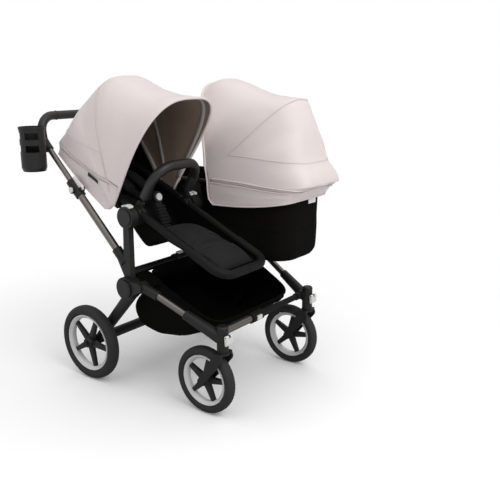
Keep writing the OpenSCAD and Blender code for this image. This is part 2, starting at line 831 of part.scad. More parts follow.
// Front arms: a disc on the hub's outside and the socket of the front tube
module front_arms() {
    color(black)
        both()
            difference() {
                union() {
                    disc(arm_disc_in, arm_disc_out, hub, hub_r);
                    across(arm_disc_in, arm_disc_out)
                        polygon(blade(hub, hub_r * arm_web_share, [arm_root[1], arm_root[2]],
                            front_socket_r));
                    rod(arm_root, arm_end, front_socket_r);
                    disc(arm_root[0] - front_socket_r - ball_lip, arm_root[0] + front_socket_r + ball_lip,
                        [arm_root[1], arm_root[2]], front_socket_r + ball_lip);
                }
                disc(arm_disc_in - over, arm_disc_out + over, hub, hub_pin_r + run_fit);
                rod(arm_end - arm_seat * tube_dir, arm_end + front_socket_r * tube_dir, front_tube_r + gap);
            }
}
arm_web_share = 0.75;
module front_tubes() {
    color(graphite)
        both()
            rod(arm_end - (arm_seat - gap) * tube_dir, knuckle_start + (tube_seat - gap) * tube_dir,
                front_tube_r);
}

// Front knuckles: socket, swivel bearing, boss of the crossbar and the lock's lug
stem_pin_r = 10;
lug_w = 8;
lug_reach = 12;
lock_pin_r = 2.5;
lock_r = 5;
lock_t = 8;
lock_w = 38;
lock_reach = 28;
lock_kick = 1;
lock_up = 18;
lock_at = [swivel_y - swivel_r - lug_reach + lock_r, swivel_z + lock_up];
module front_knuckles() {
    color(black)
        both()
            difference() {
                union() {
                    rod(knuckle_start, knuckle_hit, front_socket_r, front_socket_r + collar_wall);
                    translate([swivel_x, swivel_y, swivel_z - swivel_h / 2]) cylinder(h = swivel_h,
                        r = swivel_r);
                    translate([swivel_x, swivel_y, swivel_z + swivel_h / 2])
                        cylinder(h = cap_h, r1 = swivel_r, r2 = swivel_r * cap_share);
                    rod([front_bar_half, front_bar[0], front_bar[1]], [swivel_x, front_bar[0],
                        front_bar[1]],
                        crossbar_r + sleeve_wall);
                    across(swivel_x - lug_w / 2, swivel_x + lug_w / 2)
                        polygon(blade([swivel_y, lock_at[1]], lock_r, lock_at, lock_r));
                    disc(swivel_x - lock_w / 2, swivel_x + lock_w / 2, lock_at, lock_pin_r);
                }
                rod(knuckle_start - front_socket_r * tube_dir, knuckle_start + tube_seat * tube_dir,
                    front_tube_r + run_fit);
                translate([swivel_x, swivel_y, swivel_z - swivel_h / 2 - over])
                    cylinder(h = swivel_h * stem_share + over, r = stem_pin_r + run_fit);
                rod([front_bar_half - over, front_bar[0], front_bar[1]],
                    [front_bar_half + bar_spigot, front_bar[0], front_bar[1]], crossbar_r + run_fit);
            }
}
cap_h = 5;
cap_share = 0.8;
stem_share = 0.72;
module front_crossbar() {
    color(black)
        difference() {
            union() {
                crossbar(front_bar, front_bar_half, 0);
                rod(lift(front_bar, front_bar_half - spigot_l), lift(front_bar, front_bar_half),
                    crossbar_r);
                for (s = [-1, 1])
                    rod(lift(front_bar, s * front_bar_half), lift(front_bar,
                        s * (front_bar_half + bar_spigot - gap)),
                        crossbar_r);
            }
            width_pocket(front_bar, 90);
        }
}

// Swivel lock: a flap on the front of the bearing
module swivel_lock(s) {
    color(white)
        translate([s * swivel_x, 0, 0])
            difference() {
                across(-lock_w / 2, lock_w / 2)
                    polygon(blade(lock_at, lock_r, lock_at - [lock_kick, lock_reach], lock_t / 2));
                across(-lug_w / 2 - gap, lug_w / 2 + gap)
                    translate([lock_at[0] - lock_r - 2 * gap, lock_at[1] - lock_r - over])
                        square([2 * lock_r + over, 2 * lock_r + 2 * over]);
                disc(-lock_w, lock_w, lock_at, lock_pin_r + run_fit);
            }
}
module swivel_lock_right() { swivel_lock(-1); }
module swivel_lock_left() { swivel_lock(1); }

// Forks: stem, crown over the tyre, two cheeks and the axle
cheek_room = 4;
cheek_in = front_tyre_w / 2 + cheek_room;
crown_t = 9;
crown_lip = 3;
crown_z = swivel_z - swivel_h / 2 - gap;
cheek_top_r = 20;
cheek_root = [swivel_y, crown_z - cheek_top_r];
cheek_low_r = 14;
module fork(s) {
    color(black)
        translate([s * swivel_x, 0, 0]) {
            translate([0, swivel_y, crown_z - crown_t]) {
                cylinder(h = crown_t, r = swivel_r + crown_lip);
                cylinder(h = crown_t + swivel_h * stem_share - gap, r = stem_pin_r);
            }
            translate([-cheek_in - fork_cheek_t, swivel_y - cheek_top_r * crown_share, crown_z - crown_t])
                cube([2 * (cheek_in + fork_cheek_t), 2 * cheek_top_r * crown_share, crown_t]);
            for (c = [-1, 1])
                across(c * (cheek_in + fork_cheek_t / 2) - fork_cheek_t / 2,
                       c * (cheek_in + fork_cheek_t / 2) + fork_cheek_t / 2)
                    polygon(blade(cheek_root, cheek_top_r, [front_axle_y, front_axle_z], cheek_low_r));
            disc(-cheek_in - fork_cheek_t, cheek_in + fork_cheek_t, [front_axle_y, front_axle_z], axle_r);
            for (c = [-1, 1])
                disc(c * (cheek_in - cheek_room / 2 + gap) - cheek_room / 2,
                    c * (cheek_in - cheek_room / 2 + gap)
                    + cheek_room / 2, [front_axle_y, front_axle_z], axle_nut_r);
        }
}
crown_share = 0.8;
module fork_right() { fork(-1); }
module fork_left() { fork(1); }

// Rear legs: hub eye, leg and the block that holds the axle and the beam
module rear_legs() {
    color(black)
        both()
            difference() {
                union() {
                    disc(leg_eye_in, leg_eye_out, hub, hub_r * leg_eye_share);
                    rod(lift(hub, leg_x), [leg_x, rear_axle_y, rear_axle_z], rear_leg_r);
                    disc(leg_x - rear_leg_r, leg_x + rear_leg_r, [rear_axle_y, rear_axle_z], axle_block_r);
                    across(leg_x - rear_leg_r, leg_x + rear_leg_r * block_share)
                        polygon(blade([rear_axle_y, rear_axle_z], axle_block_r, beam, axle_block_r));
                }
                disc(leg_eye_in - rear_leg_r - over, leg_eye_out + over, hub, hub_pin_r + run_fit);
                disc(leg_eye_in - rear_leg_r - over, leg_eye_in, hub, hub_pin_r + pin_head_t + gap);
                disc(leg_x - rear_leg_r + bar_spigot, leg_x + rear_leg_r + over, [rear_axle_y, rear_axle_z],
                    axle_r + run_fit);
                disc(leg_x - rear_leg_r - over, leg_x - rear_leg_r + bar_spigot, beam,
                    axle_beam_r + run_fit);
            }
}
leg_eye_share = 0.84;
block_share = 0.6;

// Rear axle: the beam between the legs and a stub for each wheel
module rear_axle() {
    color(black) {
        rod(lift(beam, -leg_x + rear_leg_r - bar_spigot + gap), lift(beam,
            leg_x - rear_leg_r + bar_spigot - gap),
            axle_beam_r);
        both() {
            disc(leg_x - rear_leg_r + bar_spigot + gap,
                rear_track / 2 + rear_tyre_w / 2 + axle_nut_t + over,
                [rear_axle_y, rear_axle_z], axle_r);
            disc(rear_track / 2 + rear_tyre_w / 2 + gap, rear_track / 2 + rear_tyre_w / 2 + axle_nut_t,
                [rear_axle_y, rear_axle_z], axle_nut_r);
            disc(leg_x + rear_leg_r + gap, rear_track / 2 - rear_tyre_w / 2 - gap, [rear_axle_y,
                rear_axle_z],
                axle_nut_r);
        }
    }
}

// Brake pedal: a foot plate that rocks on the beam
pedal_half = 34;
pedal_wall = 5;
pedal_l = 56;
pedal_tip_r = 6;
pedal_drop = 8;
module brake_pedal() {
    color(black)
        difference() {
            union() {
                disc(-pedal_half, pedal_half, beam, axle_beam_r + pedal_wall);
                across(-pedal_half, pedal_half)
                    polygon(blade(beam, axle_beam_r + pedal_wall, beam + [pedal_l, pedal_drop],
                        pedal_tip_r));
            }
            disc(-pedal_half - over, pedal_half + over, beam, axle_beam_r + run_fit);
        }
}

// Places a child in the seat's own slope
module on_seat() {
    translate([-seat_x, joint_y, joint_z]) rotate([seat_slope, 0, 0]) children();
}

// Seat rails and the bows that close them at the foot and the head
module seat_rails() {
    color(black)
        on_seat()
            for (s = [-1, 1])
                rod([s * rail_half, seat_bend - foot_l + 2 * gap, rail_rise],
                    [s * rail_half, head_l - seat_bend, rail_rise], rail_r);
}
grip_wall = 3;
foot_grip_r = rail_r + grip_wall;
foot_grip_l = 150;
module seat_bows() {
    color(black)
        on_seat() {
            translate([0, seat_bend - foot_l, rail_rise])
                rotate([90, 0, 0]) bow_tube(rail_half, seat_bend, seat_bend, foot_grip_r);
            translate([0, head_l - seat_bend, rail_rise])
                rotate([-90, 0, 0]) bow_tube(rail_half, seat_bend, seat_bend, rail_r);
            for (s = [-1, 1])
                difference() {
                    rod([s * rail_half, seat_bend - foot_l, rail_rise],
                        [s * rail_half, foot_grip_l - foot_l, rail_rise], foot_grip_r);
                    rod([s * rail_half, seat_bend - foot_l + gap, rail_rise],
                        [s * rail_half, foot_grip_l - foot_l + over, rail_rise], rail_r + run_fit);
                }
        }
}

// Pivot blocks: rail saddle, trunnion and the bumper bar's ear
module seat_pivots() {
    outer_end = frame_half - drum_w / 2 + socket_depth - over - seat_x;
    inner_end = seat_x - centre_drum_half + centre_socket_depth - over;
    color(black)
        on_seat()
            for (s = [-1, 1])
                difference() {
                    union() {
                        disc(min(s * (rail_half - rail_r - pivot_wall), s * (pivot_half + pivot_lip)),
                             max(s * (rail_half - rail_r - pivot_wall), s * (pivot_half + pivot_lip)),
                                 [0, 0], pivot_r);
                        if (s < 0) disc(-outer_end, -rail_half, [0, 0], trunnion_r);
                        if (s > 0) disc(rail_half, inner_end, [0, 0], trunnion_r);
                        across(s * rail_half - ear_t, s * rail_half + ear_t)
                            polygon(blade([0, rail_rise], rail_r + ear_t, bumper_axis, bumper_ear_r));
                        disc(s * bumper_half - bumper_ear_t / 2, s * bumper_half + bumper_ear_t / 2,
                            bumper_axis,
                            bumper_pin_r);
                        disc(min(s * bumper_half, s * rail_half), max(s * bumper_half, s * rail_half),
                            bumper_axis,
                            bumper_pin_r);
                    }
                    rod([s * rail_half, -pivot_r - over, rail_rise], [s * rail_half, pivot_r + over,
                        rail_rise],
                        rail_r + run_fit);
                }
}

// Bumper bar: an arch over the child's lap on two eyes
module bumper_bar() {
    color(black)
        on_seat()
            translate([0, bumper_axis[0], bumper_axis[1]])
                difference() {
                    union() {
                        rotate([bumper_lean, 0, 0]) {
                            for (s = [-1, 1])
                                translate([s * bumper_half, 0, 0]) cylinder(h = bumper_cover + over,
                                    r = bumper_core_r);
                            translate([0, 0, bumper_cover])
                                bow_tube(bumper_half, bumper_h - bumper_cover, bumper_bend, bumper_r);
                        }
                        for (s = [-1, 1])
                            disc(s * bumper_half - eye_half, s * bumper_half + eye_half, [0, 0],
                                bumper_ear_r);
                    }
                    for (s = [-1, 1])
                        disc(s * bumper_half - bumper_ear_t, s * bumper_half + bumper_ear_t, [0, 0],
                            bumper_pin_r + run_fit);
                }
}
bumper_core_r = 5.5;
bumper_cover = 27;
eye_half = bumper_ear_t / 2;

// Hammock: a sling of cloth under the rails, closed at both sides
cheek_front = seat_bend - foot_l;
function raised(p, h) = [for (q = p) q + [0, h]];
module seat_shell() {
    color(black)
        on_seat() {
            across(-side_half, side_half)
                polygon(concat(hammock, [for (i = [len(hammock) - 1:-1:0]) hammock[i] + [0, hammock_t]]));
            for (s = [-1, 1])
                across(s * (side_half - side_t / 2) - side_t / 2, s * (side_half - side_t / 2) + side_t / 2)
                    polygon(concat([[cheek_front, crease_z]], [for (i = [1:len(hammock) - 1]) hammock[i]],
                        [[back_top[0], rail_rise], [cheek_front, rail_rise]]));
        }
}

// Pads: crowned, drawn in at the sides, with sewn channels across
function path_length(p, k) = k == 0 ? 0 : path_length(p, k - 1) + norm(p[k] - p[k - 1]);
function path_at(p, s, k = 1) =
    let (a = path_length(p, k - 1), b = path_length(p, k))
    (s <= b || k == len(p) - 1) ? mix(p[k - 1], p[k], (s - a) / (b - a)) : path_at(p, s, k + 1);
function pad_grid(path, half, crown, top, rows, cols, channels) =
    let (total = path_length(path, len(path) - 1))
    [for (i = [0:rows]) let (
        u = i / rows, p = path_at(path, total * u), q = path_at(path, total * min(1, u + pad_step_share)),
        o = path_at(path, total * max(0, u - pad_step_share)), d = (q - o) / norm(q - o), n = [-d[1], d[0]],
        groove = max([for (c = channels) max(0, 1 - abs(u - c) / channel_share)]))
        [for (j = [0:cols]) let (
            v = 2 * j / cols - 1, ends = 1 - pow(abs(2 * u - 1), pad_power),
            w = half - pad_draw * sin(180 * u) - pad_corner * pow(abs(2 * u - 1), pad_power),
            rise = top ? pad_edge + crown * ends * (1 - pow(abs(v),
                pad_power)) * (1 - groove * groove_share) : 0)
            [w * v, p[0] + n[0] * rise, p[1] + n[1] * rise]]];
pad_step_share = 0.04;
channel_share = 0.05;
groove_share = 0.7;
pad_power = 4;
pad_draw = 5;
pad_corner = 16;
pad_edge = 6;
seat_crown = 26;
back_crown = 20;
pad_room = 3;
pad_half = side_half - side_t - pad_room;
pad_rows = 28;
pad_cols = 16;
module pad(path, channels, crown) {
    color(charcoal)
        on_seat()
            skin(pad_grid(path, pad_half, crown, true, pad_rows, pad_cols, channels),
                 pad_grid(path, pad_half, crown, false, pad_rows, pad_cols, channels));
}
pad_lift = 1;
pad_slack = [3, 18];
pad_front_gap = 10;
seat_back_end = [20, 34];
seat_path = [
    [low_y, hammock_low] + seat_back_end, pan_drop + pad_slack, pan_end + [0, hammock_t + pad_lift],
    [crease_y, crease_z + hammock_t + pad_lift], [hammock_front[0] + pad_front_gap,
        crease_z + hammock_t + pad_lift]
];
back_start = [8, 6];
back_high_share = 0.95;
back_path = [[heel_y, hammock_low + heel_lift] + back_start, lumbar, mix(lumbar, back_top,
    back_high_share)];
seat_channel_shares = [0.34, 0.72];
back_channel_shares = [0.3, 0.62];
module seat_pad() {
    pad([for (i = [len(seat_path) - 1:-1:0]) seat_path[i]], [for (c = seat_channel_shares) 1 - c],
        seat_crown);
}
module back_pad() {
    pad(raised(back_path, hammock_t + pad_lift), back_channel_shares, back_crown);
}

// Harness: crotch strap, waist straps and shoulder straps that meet at the buckle
buckle_at = [34, 36];
buckle_r = 22;
buckle_t = 16;
buckle_turn = 52;
strap_w = 32;
strap_t = 3;
shoulder_half = 46;
crotch_base = [6, 14];
waist_base = [50, 5];
crotch_at = [low_y, hammock_low] + crotch_base;
shoulder_share = 0.66;
shoulder_at = mix(lumbar, back_top, shoulder_share) + [0, hammock_t];
waist_at = lumbar - waist_base;
module harness() {
    color(black)
        on_seat()
            difference() {
                union() {
                    strap(lift(crotch_at, 0), lift(buckle_at, 0), strap_w, strap_t);
                    for (s = [-1, 1]) {
                        strap(lift(shoulder_at, s * shoulder_half), lift(buckle_at,
                            s * buckle_r * strap_join_share),
                            strap_w, strap_t);
                        strap(lift(waist_at, s * (pad_half - strap_w)), lift(buckle_at,
                            s * buckle_r * strap_join_share),
                            strap_w, strap_t);
                    }
                }
                at_buckle() cylinder(h = 2 * buckle_t, r = buckle_r + gap, center = true);
            }
}
strap_join_share = 0.5;
module at_buckle() {
    translate(lift(buckle_at, 0)) rotate([buckle_turn, 0, 0]) children();
}
module buckle() {
    color(black)
        on_seat()
            at_buckle()
                difference() {
                    translate([0, 0, -buckle_t / 2]) cylinder(h = buckle_t, r = buckle_r);
                    translate([0, 0, buckle_t / 2 - buckle_pocket])
                        cylinder(h = buckle_pocket + over, r = buckle_cap_r + gap);
                }
}
buckle_cap_r = 14;
buckle_pocket = 8;
buckle_proud = 5;
module buckle_button() {
    color(white)
        on_seat()
            at_buckle()
                translate([0, 0, buckle_t / 2 - buckle_pocket + button_travel])
                    cylinder(h = buckle_pocket - button_travel + buckle_proud, r = buckle_cap_r);
}

// Canopy and hood: skins between two rows of bows
function bows(at, angles, reach, shares, half, power, drop, bulge = 0) =
    [for (i = [0:len(angles) - 1])
        hood_arch(at, angles[i], reach * shares[i] - drop, half - drop, is_list(power) ? power[i] : power,
            is_list(bulge) ? bulge[i] : bulge)];
module cloth(at, angles, reach, shares, half, power, t, bulge = 0) {
    skin(bows(at, angles, reach, shares, half, power, 0, bulge), bows(at, angles, reach, shares, half,
        power, t, bulge));
}
function shell_rows(drop) =
    let (rows = bows(canopy_at, shell_angles, canopy_reach, shell_reach_shares, canopy_half,
        shell_powers, drop,
             canopy_bulge * shell_bulge_shares),
         span = canopy_reach * shell_reach_shares[0])
    concat([[for (p = rows[0]) let (h = (p[1] - canopy_at[0]) / span)
        [p[0], p[1], canopy_at[1] - hem_drop + hem_rise * pow(h, hem_power)]]], rows);
module canopy_shell() {
    color(blush)
        on_seat()
            skin(shell_rows(0), shell_rows(cloth_t));
}
module canopy_visor() {
    color(blush)
        on_seat()
            cloth(canopy_at, visor_angles, canopy_reach, visor_reach_shares, canopy_half, visor_powers,
                cloth_t,
                canopy_bulge);
}
bow_w = 15;
bow_start = atan(bow_start_share);
bow_turns = [for (i = [0:hoop_steps]) mix(bow_start, 180 - bow_start, i / hoop_steps)];
function bow_row(at, angle, reach, half, power, side, bulge) =
    [for (t = bow_turns) arch(at, angle, reach, half, power, t, bulge) + side * bow_w / 2 * [0,
        -sin(angle), cos(angle)]];
module bow_band(at, angle, reach, half, power, bulge = 0) {
    skin([for (e = [-1, 1]) bow_row(at, angle, reach, half, power, e, bulge)],
         [for (e = [-1, 1]) bow_row(at, angle, reach - bow_t, half - bow_t, power, e, bulge)]);
}
module bow_ends(at, half) {
    for (s = [-1, 1])
        difference() {
            disc(s > 0 ? half - bow_out - hub_disc_t : -half,
                s > 0 ? half : bow_out + hub_disc_t - half, at, hub_disc_r);
            disc(s * half - 2 * bow_out, s * half + 2 * bow_out, at, canopy_pin_r + run_fit);
        }
}
module canopy_bow() {
    color(blush)
        on_seat()
            union() {
                bow_band(canopy_at, bow_angle, canopy_reach * bow_reach_share, canopy_half + bow_out,
                    canopy_power,
                    canopy_bulge);
                bow_ends(canopy_at, canopy_half + bow_out);
            }
}

// Clips on the rails that carry the canopy's pins
clip_half = 18;
clip_low = 26;
module canopy_clips() {
    color(black)
        on_seat()
            for (s = [-1, 1]) {
                difference() {
                    translate([s * rail_half - rail_r + gap, canopy_at[0] - clip_half,
                        rail_rise - clip_low - hub_disc_r])
                        cube([2 * (rail_r - gap), 2 * clip_half, clip_low + hub_disc_r]);
                    rod([s * rail_half, canopy_at[0] - clip_half - over, rail_rise],
                        [s * rail_half, canopy_at[0] + clip_half + over, rail_rise], rail_r + run_fit);
                }
                disc(min(s * rail_half, s * (canopy_half + bow_out)), max(s * rail_half,
                    s * (canopy_half + bow_out)),
                    canopy_at, canopy_pin_r);
            }
}

// Places a child on the carrycot's middle
module on_cot() { translate([seat_x, 0, 0]) children(); }

// A rounded plan at one height
function plan(half_w, half_l, corner, y, z) =
    let (k = plan_steps / 4)
    [for (q = [0:3], i = [0:k - 1]) let (
        t = 90 * q + 90 * i / (k - 1), sx = (q == 0 || q == 3) ? 1 : -1, sy = q < 2 ? 1 : -1)
        [sx * (half_w - corner) + corner * cos(t), y + sy * (half_l - corner) + corner * sin(t), z]];
module tub(inset, low, high) {
    stack([for (i = [0:len(cot_level_shares) - 1]) let (d = cot_draft * cot_inset_shares[i] + inset)
        plan(cot_w / 2 - d, cot_l / 2 - d, cot_corner - inset, cot_mid_y,
            mix(low, high, cot_level_shares[i]))]);
}
module cot_tub() {
    color(black)
        on_cot()
            difference() {
                tub(0, cot_rim_z - cot_depth, cot_rim_z);
                tub(cot_wall, cot_rim_z - cot_depth + cot_wall, cot_rim_z + over);
            }
}

// Carrycot rim: a flange round the tub, hood lugs with pins, and the trunnion brackets
bracket_half = 20;
bracket_t = rim_flange;
module cot_rim() {
    outer_end = frame_half - drum_w / 2 + socket_depth - over - seat_x;
    inner_end = seat_x - centre_drum_half + centre_socket_depth - over;
    half = cot_w / 2;
    color(black)
        on_cot() {
            difference() {
                stack([for (z = [cot_rim_z - rim_flange_t, cot_rim_z])
                    plan(half + rim_flange, cot_l / 2 + rim_flange, cot_corner + rim_flange, cot_mid_y,
                        z)]);
                stack([for (z = [cot_rim_z - rim_flange_t - over, cot_rim_z + over])
                    plan(half + gap, cot_l / 2 + gap, cot_corner + gap, cot_mid_y, z)]);
            }
            for (s = [-1, 1]) {
                side = s * (half + gap + (bracket_t - gap) / 2);
                thick = bracket_t - gap;
                across(side - thick / 2, side + thick / 2)
                    polygon(blade(joint, pivot_r, [joint_y, cot_rim_z - rim_flange_t / 2], bracket_half));
                if (s > 0) disc(half + gap, outer_end, joint, trunnion_r);
                if (s < 0) disc(-inner_end, -half - gap, joint, trunnion_r);
                across(side - thick / 2, side + thick / 2)
                    translate([hood_at[0] - lug_h / 2, cot_rim_z - rim_flange_t])
                        square([lug_h, rim_flange_t + hood_pivot_rise + canopy_pin_r]);
                disc(min(side, s * (hood_half + bow_out)), max(side, s * (hood_half + bow_out)), hood_at,
                    canopy_pin_r);
            }
        }
}

// Mattress: a crowned pad on the tub's floor
mattress_draw = 46;
mattress_level_shares = [0, 0.15, 0.5, 0.8, 0.95, 1];
mattress_inset_shares = [0.5, 0, -0.1, 0.12, 0.9, 2.6];
mattress_round = 12;
module mattress() {
    base = cot_rim_z - cot_depth + cot_wall + gap;
    color(cream)
        on_cot()
            stack([for (i = [0:len(mattress_level_shares) - 1])
                let (d = mattress_draw + mattress_round * mattress_inset_shares[i])
                plan(cot_w / 2 - d, cot_l / 2 - d, cot_corner - mattress_draw / 2, cot_mid_y,
                    base + mattress_t * mattress_level_shares[i])]);
}

// Hood: the fixed front with its skirt, the folding part and the rear bow
function skirt_rows(drop) =
    [for (i = [len(skirt_drops) - 1:-1:0]) let (span = hood_reach * skirt_reach_shares[i])
        [for (p = hood_arch(hood_at, 180, span - drop, hood_half - drop,
            skirt_power)) let (h = (hood_at[0] - p[1]) / span)
            [p[0], p[1], hood_at[1] - skirt_drops[i] * (1 - skirt_rise_share * h * h)]]];
function hood_rows(drop) = concat(
    [for (i = [0:len(hood_front_angles) - 1])
        hood_arch(hood_at, hood_front_angles[i], hood_reach * hood_front_reach_shares[i] - drop,
            hood_half - drop,
            hood_front_powers[i])],
    [for (i = [len(skirt_drops) - 1:-1:0]) skirt_rows(drop)[i]]
);
module hood_front() {
    color(blush)
        on_cot()
            skin(hood_rows(0), hood_rows(cloth_t));
}
module hood_visor() {
    color(blush)
        on_cot()
            cloth(hood_at, hood_visor_angles, hood_reach, hood_visor_reach_shares, hood_half, hood_power,
                cloth_t);
}
module hood_bow() {
    color(blush)
        on_cot()
            union() {
                bow_band(hood_at, hood_bow_angle, hood_reach * hood_bow_reach_share, hood_half + bow_out,
                    hood_power);
                bow_ends(hood_at, hood_half + bow_out);
            }
}

// Basket: rings that follow the sloping rim and gather towards the sagging floor
function basket_ring(k, inset) =
    let (front = [basket_front_y + inset, basket_front_z] + basket_fronts[k],
         back = [basket_back_y - inset, basket_back_z] + basket_backs[k])
    [for (i = [0:plan_steps - 1]) let (
        t = 360 * i / plan_steps, cx = sgn_pow(cos(t), 2 / basket_power), cy = sgn_pow(sin(t),
            2 / basket_power),
        p = mix(front, back, (1 + cy) / 2), half_w = mix(basket_front_w, basket_w,
            (1 + cy) / 2) / 2 - inset)
        [half_w * cx * basket_draw_shares[k], p[0], p[1]]];
basket_power = 7;
module basket_solid(inset, rise, low) {
    last = len(basket_fronts) - 1;
    stack([for (k = [last:-1:0])
        [for (p = basket_ring(k, inset)) p + [0, 0, k == 0 ? rise : k == last ? low : 0]]]);
}
module basket() {
    color(black)
        difference() {
            basket_solid(0, 0, 0);
            basket_solid(basket_t, over, basket_t);
        }
}

// Cup holder: an open cup with windows, on a bracket round the right hand stem
window_h = 26;
window_turn = 64;
window_rise_shares = [0.44, 0.72];
cup_taper = 5;
cup_foot = 14;
ring_h = 10;
ring_out = 2;
module cup_holder() {
    color(black)
        translate([cup_x, cup_mid[0], cup_low])
            difference() {
                rotate_extrude()
                    polygon([
                        [0, 0], [cup_r + cup_wall - cup_taper, 0], [cup_r + cup_wall, cup_foot],
                        [cup_r + cup_wall, cup_h - ring_h], [cup_r + cup_wall + ring_out, cup_h - ring_h],
                        [cup_r + cup_wall + ring_out, cup_h], [cup_r, cup_h], [cup_r, cup_foot],
                        [cup_r - cup_taper, cup_wall], [0, cup_wall]
                    ]);
                for (w = window_rise_shares, k = [0:1])
                    translate([0, 0, cup_h * w])
                        rotate([0, 0, window_first + k * window_step])
                            rotate_extrude(angle = window_turn)
                                translate([cup_r - over, 0])
                                    square([cup_wall + 2 * over, window_h]);
            }
}
window_first = 100;
window_step = 100;
bracket_l = 34;
bracket_wall = 5;
module cup_bracket() {
    color(black)
        difference() {
            union() {
                rod(lift(on_handle(cup_at - bracket_l / 2), -frame_half),
                    lift(on_handle(cup_at + bracket_l / 2), -frame_half), stem_r + bracket_wall);
                disc(cup_x, -frame_half, cup_mid, bracket_l * bracket_arm_share);
            }
            rod(lift(on_handle(cup_at - bracket_l), -frame_half), lift(on_handle(cup_at + bracket_l),
                -frame_half),
                stem_r + run_fit);
            translate([cup_x, cup_mid[0], cup_low - over])
                cylinder(h = cup_h + 2 * over, r = cup_r + cup_wall + gap);
        }
}
bracket_arm_share = 0.4;

uprights();
hub_pins();
handle_tubes();
clamps();
rear_crossbar();
centre_post();
basket();
cot_tub();
cot_rim();
mattress();
hood_front();
hood_visor();
hood_bow();
release_right();
release_left();
centre_release_seat();
centre_release_cot();
fold_button_right();
fold_button_left();
clamp_lever_right();
clamp_lever_left();
width_button_rear();
width_button_front();
handle_stems();
handle_grip();
cup_bracket();
cup_holder();
front_arms();
front_tubes();
front_knuckles();
front_crossbar();
swivel_lock_right();
swivel_lock_left();
fork_right();
fork_left();
front_wheel_right();
front_tyre_right();
front_wheel_left();
front_tyre_left();
rear_wheel_right();
rear_tyre_right();
rear_wheel_left();
rear_tyre_left();
rear_legs();
rear_axle();
brake_pedal();
seat_rails();
seat_bows();
seat_pivots();
seat_shell();
seat_pad();
back_pad();
harness();
buckle();
buckle_button();
bumper_bar();
canopy_shell();
canopy_visor();
canopy_bow();
canopy_clips();
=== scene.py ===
"""Looks of a twin pram: its cloth, padding, wheels and finishes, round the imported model."""

import json
import math

import bmesh
import bpy
from bpy.props import FloatProperty, FloatVectorProperty, PointerProperty
from mathutils import Matrix, Vector, noise


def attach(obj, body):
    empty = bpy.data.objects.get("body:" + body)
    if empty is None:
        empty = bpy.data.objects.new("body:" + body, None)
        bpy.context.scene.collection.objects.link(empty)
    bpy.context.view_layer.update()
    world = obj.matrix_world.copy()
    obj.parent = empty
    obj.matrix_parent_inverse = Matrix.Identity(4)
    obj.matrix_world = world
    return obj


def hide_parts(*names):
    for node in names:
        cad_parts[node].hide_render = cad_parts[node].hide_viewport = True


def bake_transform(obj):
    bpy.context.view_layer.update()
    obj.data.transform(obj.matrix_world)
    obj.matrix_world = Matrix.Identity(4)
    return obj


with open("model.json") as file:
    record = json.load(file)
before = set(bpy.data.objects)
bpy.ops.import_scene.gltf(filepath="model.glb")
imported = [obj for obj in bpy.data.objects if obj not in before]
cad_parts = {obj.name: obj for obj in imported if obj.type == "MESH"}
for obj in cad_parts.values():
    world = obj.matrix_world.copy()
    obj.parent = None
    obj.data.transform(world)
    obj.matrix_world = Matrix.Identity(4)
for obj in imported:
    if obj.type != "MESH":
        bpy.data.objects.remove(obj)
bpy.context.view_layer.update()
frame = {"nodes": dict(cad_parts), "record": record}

bl_info = {
    "name": "Twin pram",
    "version": (1, 0, 0),
    "blender": (4, 5, 0),
    "location": "3D View > Sidebar > Pram",
    "description": "Cloth, padding, wheels and finishes of a twin pram",
    "category": "Object",
}

MM = 0.001
UP = Vector((0, 0, 1))
ACROSS = Vector((1, 0, 0))

# The units' places, in mm
UNIT_X = 170
JOINT = (26, 700)
SEAT_SLOPE = math.radians(24)

# Seat canopy: angle of each row from the rails, its reach, its power and its bulge
CANOPY_AT = (105, -8)
CANOPY_HALF = 143
CANOPY_REACH = 466
CANOPY_BULGE = 52
CANOPY_ANGLES = (6, 11, 16, 27, 38, 46, 52, 60, 68, 76, 84, 91, 96, 101.5)
CANOPY_SHARES = (.795, .834, .83, .842, .908, .941, .969, .99, .944, .91, .91, .931, .968, 1.01)
CANOPY_POWERS = (14, 9, 7, 4.6, 2.9, 2.8, 2.8, 2.8, 2.8, 2.8, 2.8, 2.85, 2.9, 3)
CANOPY_BULGES = (0, .05, .15, .6, 1, 1, 1, 1, 1, 1, 1.03, 1.1, 1.2, 1.3)
HEM_DROP = 44
HEM_RISE = 76
HEM_POWER = 1.6
REAR_DIP = 32
HEM_PART = 0.05
CANOPY_EDGE = ((0, .06, .15, .35, .6, 1), (132, 115, 107, 101, 97, 93), (-46, -40, -33, -26, -17, -6))
ZIP_LEVEL = ((95, 119, 180, 300, 486), (78, 70, 56, 44, 52))
SIDE_SEAM = ((205, 224, 297, 368, 486), (146, 144, 134, 122, 108))
LINING_FROM = 27
CLOTH_LENGTH = 1.0
LABEL_LEVEL = ((200, 290), (30, 27))
CANOPY_RIBS = ((28, .018), (52, .018), (97.5, .016))
CANOPY_SEAMS = (54, 56)

# Carrycot hood: rows by angle, then by drop below the brim
HOOD_AT = (-65, 805)
HOOD_HALF = 146
HOOD_REACH = 450
HOOD_KEYS = (75, 86, 97, 108, 119, 129, 136, 143, 151, 160, 169, 175, 180, 195.6, 237.2, 284)
HOOD_SHARES = (.82, .838, .812, .793, .812, .889, .971, .949, .923, .888, .886, .934, .952, .905, .848, .802)
HOOD_POWERS = (2.8, 2.8, 2.8, 2.8, 2.8, 2.8, 2.8, 2.8, 3, 4.4, 5.2, 6.4, 8, 10, 10, 10)
SKIRT_RISE = 0.42
HOOD_EDGE = ((75, 180, 262, 284), (850, 805, 723, 703), (-37, -46, -56, -76))
BRIM = 180
HOOD_SPLIT = 136
PANEL_SEAM = (137.5, 31, .83)
BRIM_DIP = (20, .45, .28)
BRIM_LINES = (181, 190, 199)
SKIRT_SEAM = 276
PIN_COVER = 7.5

ROW_START = math.atan(0.05)

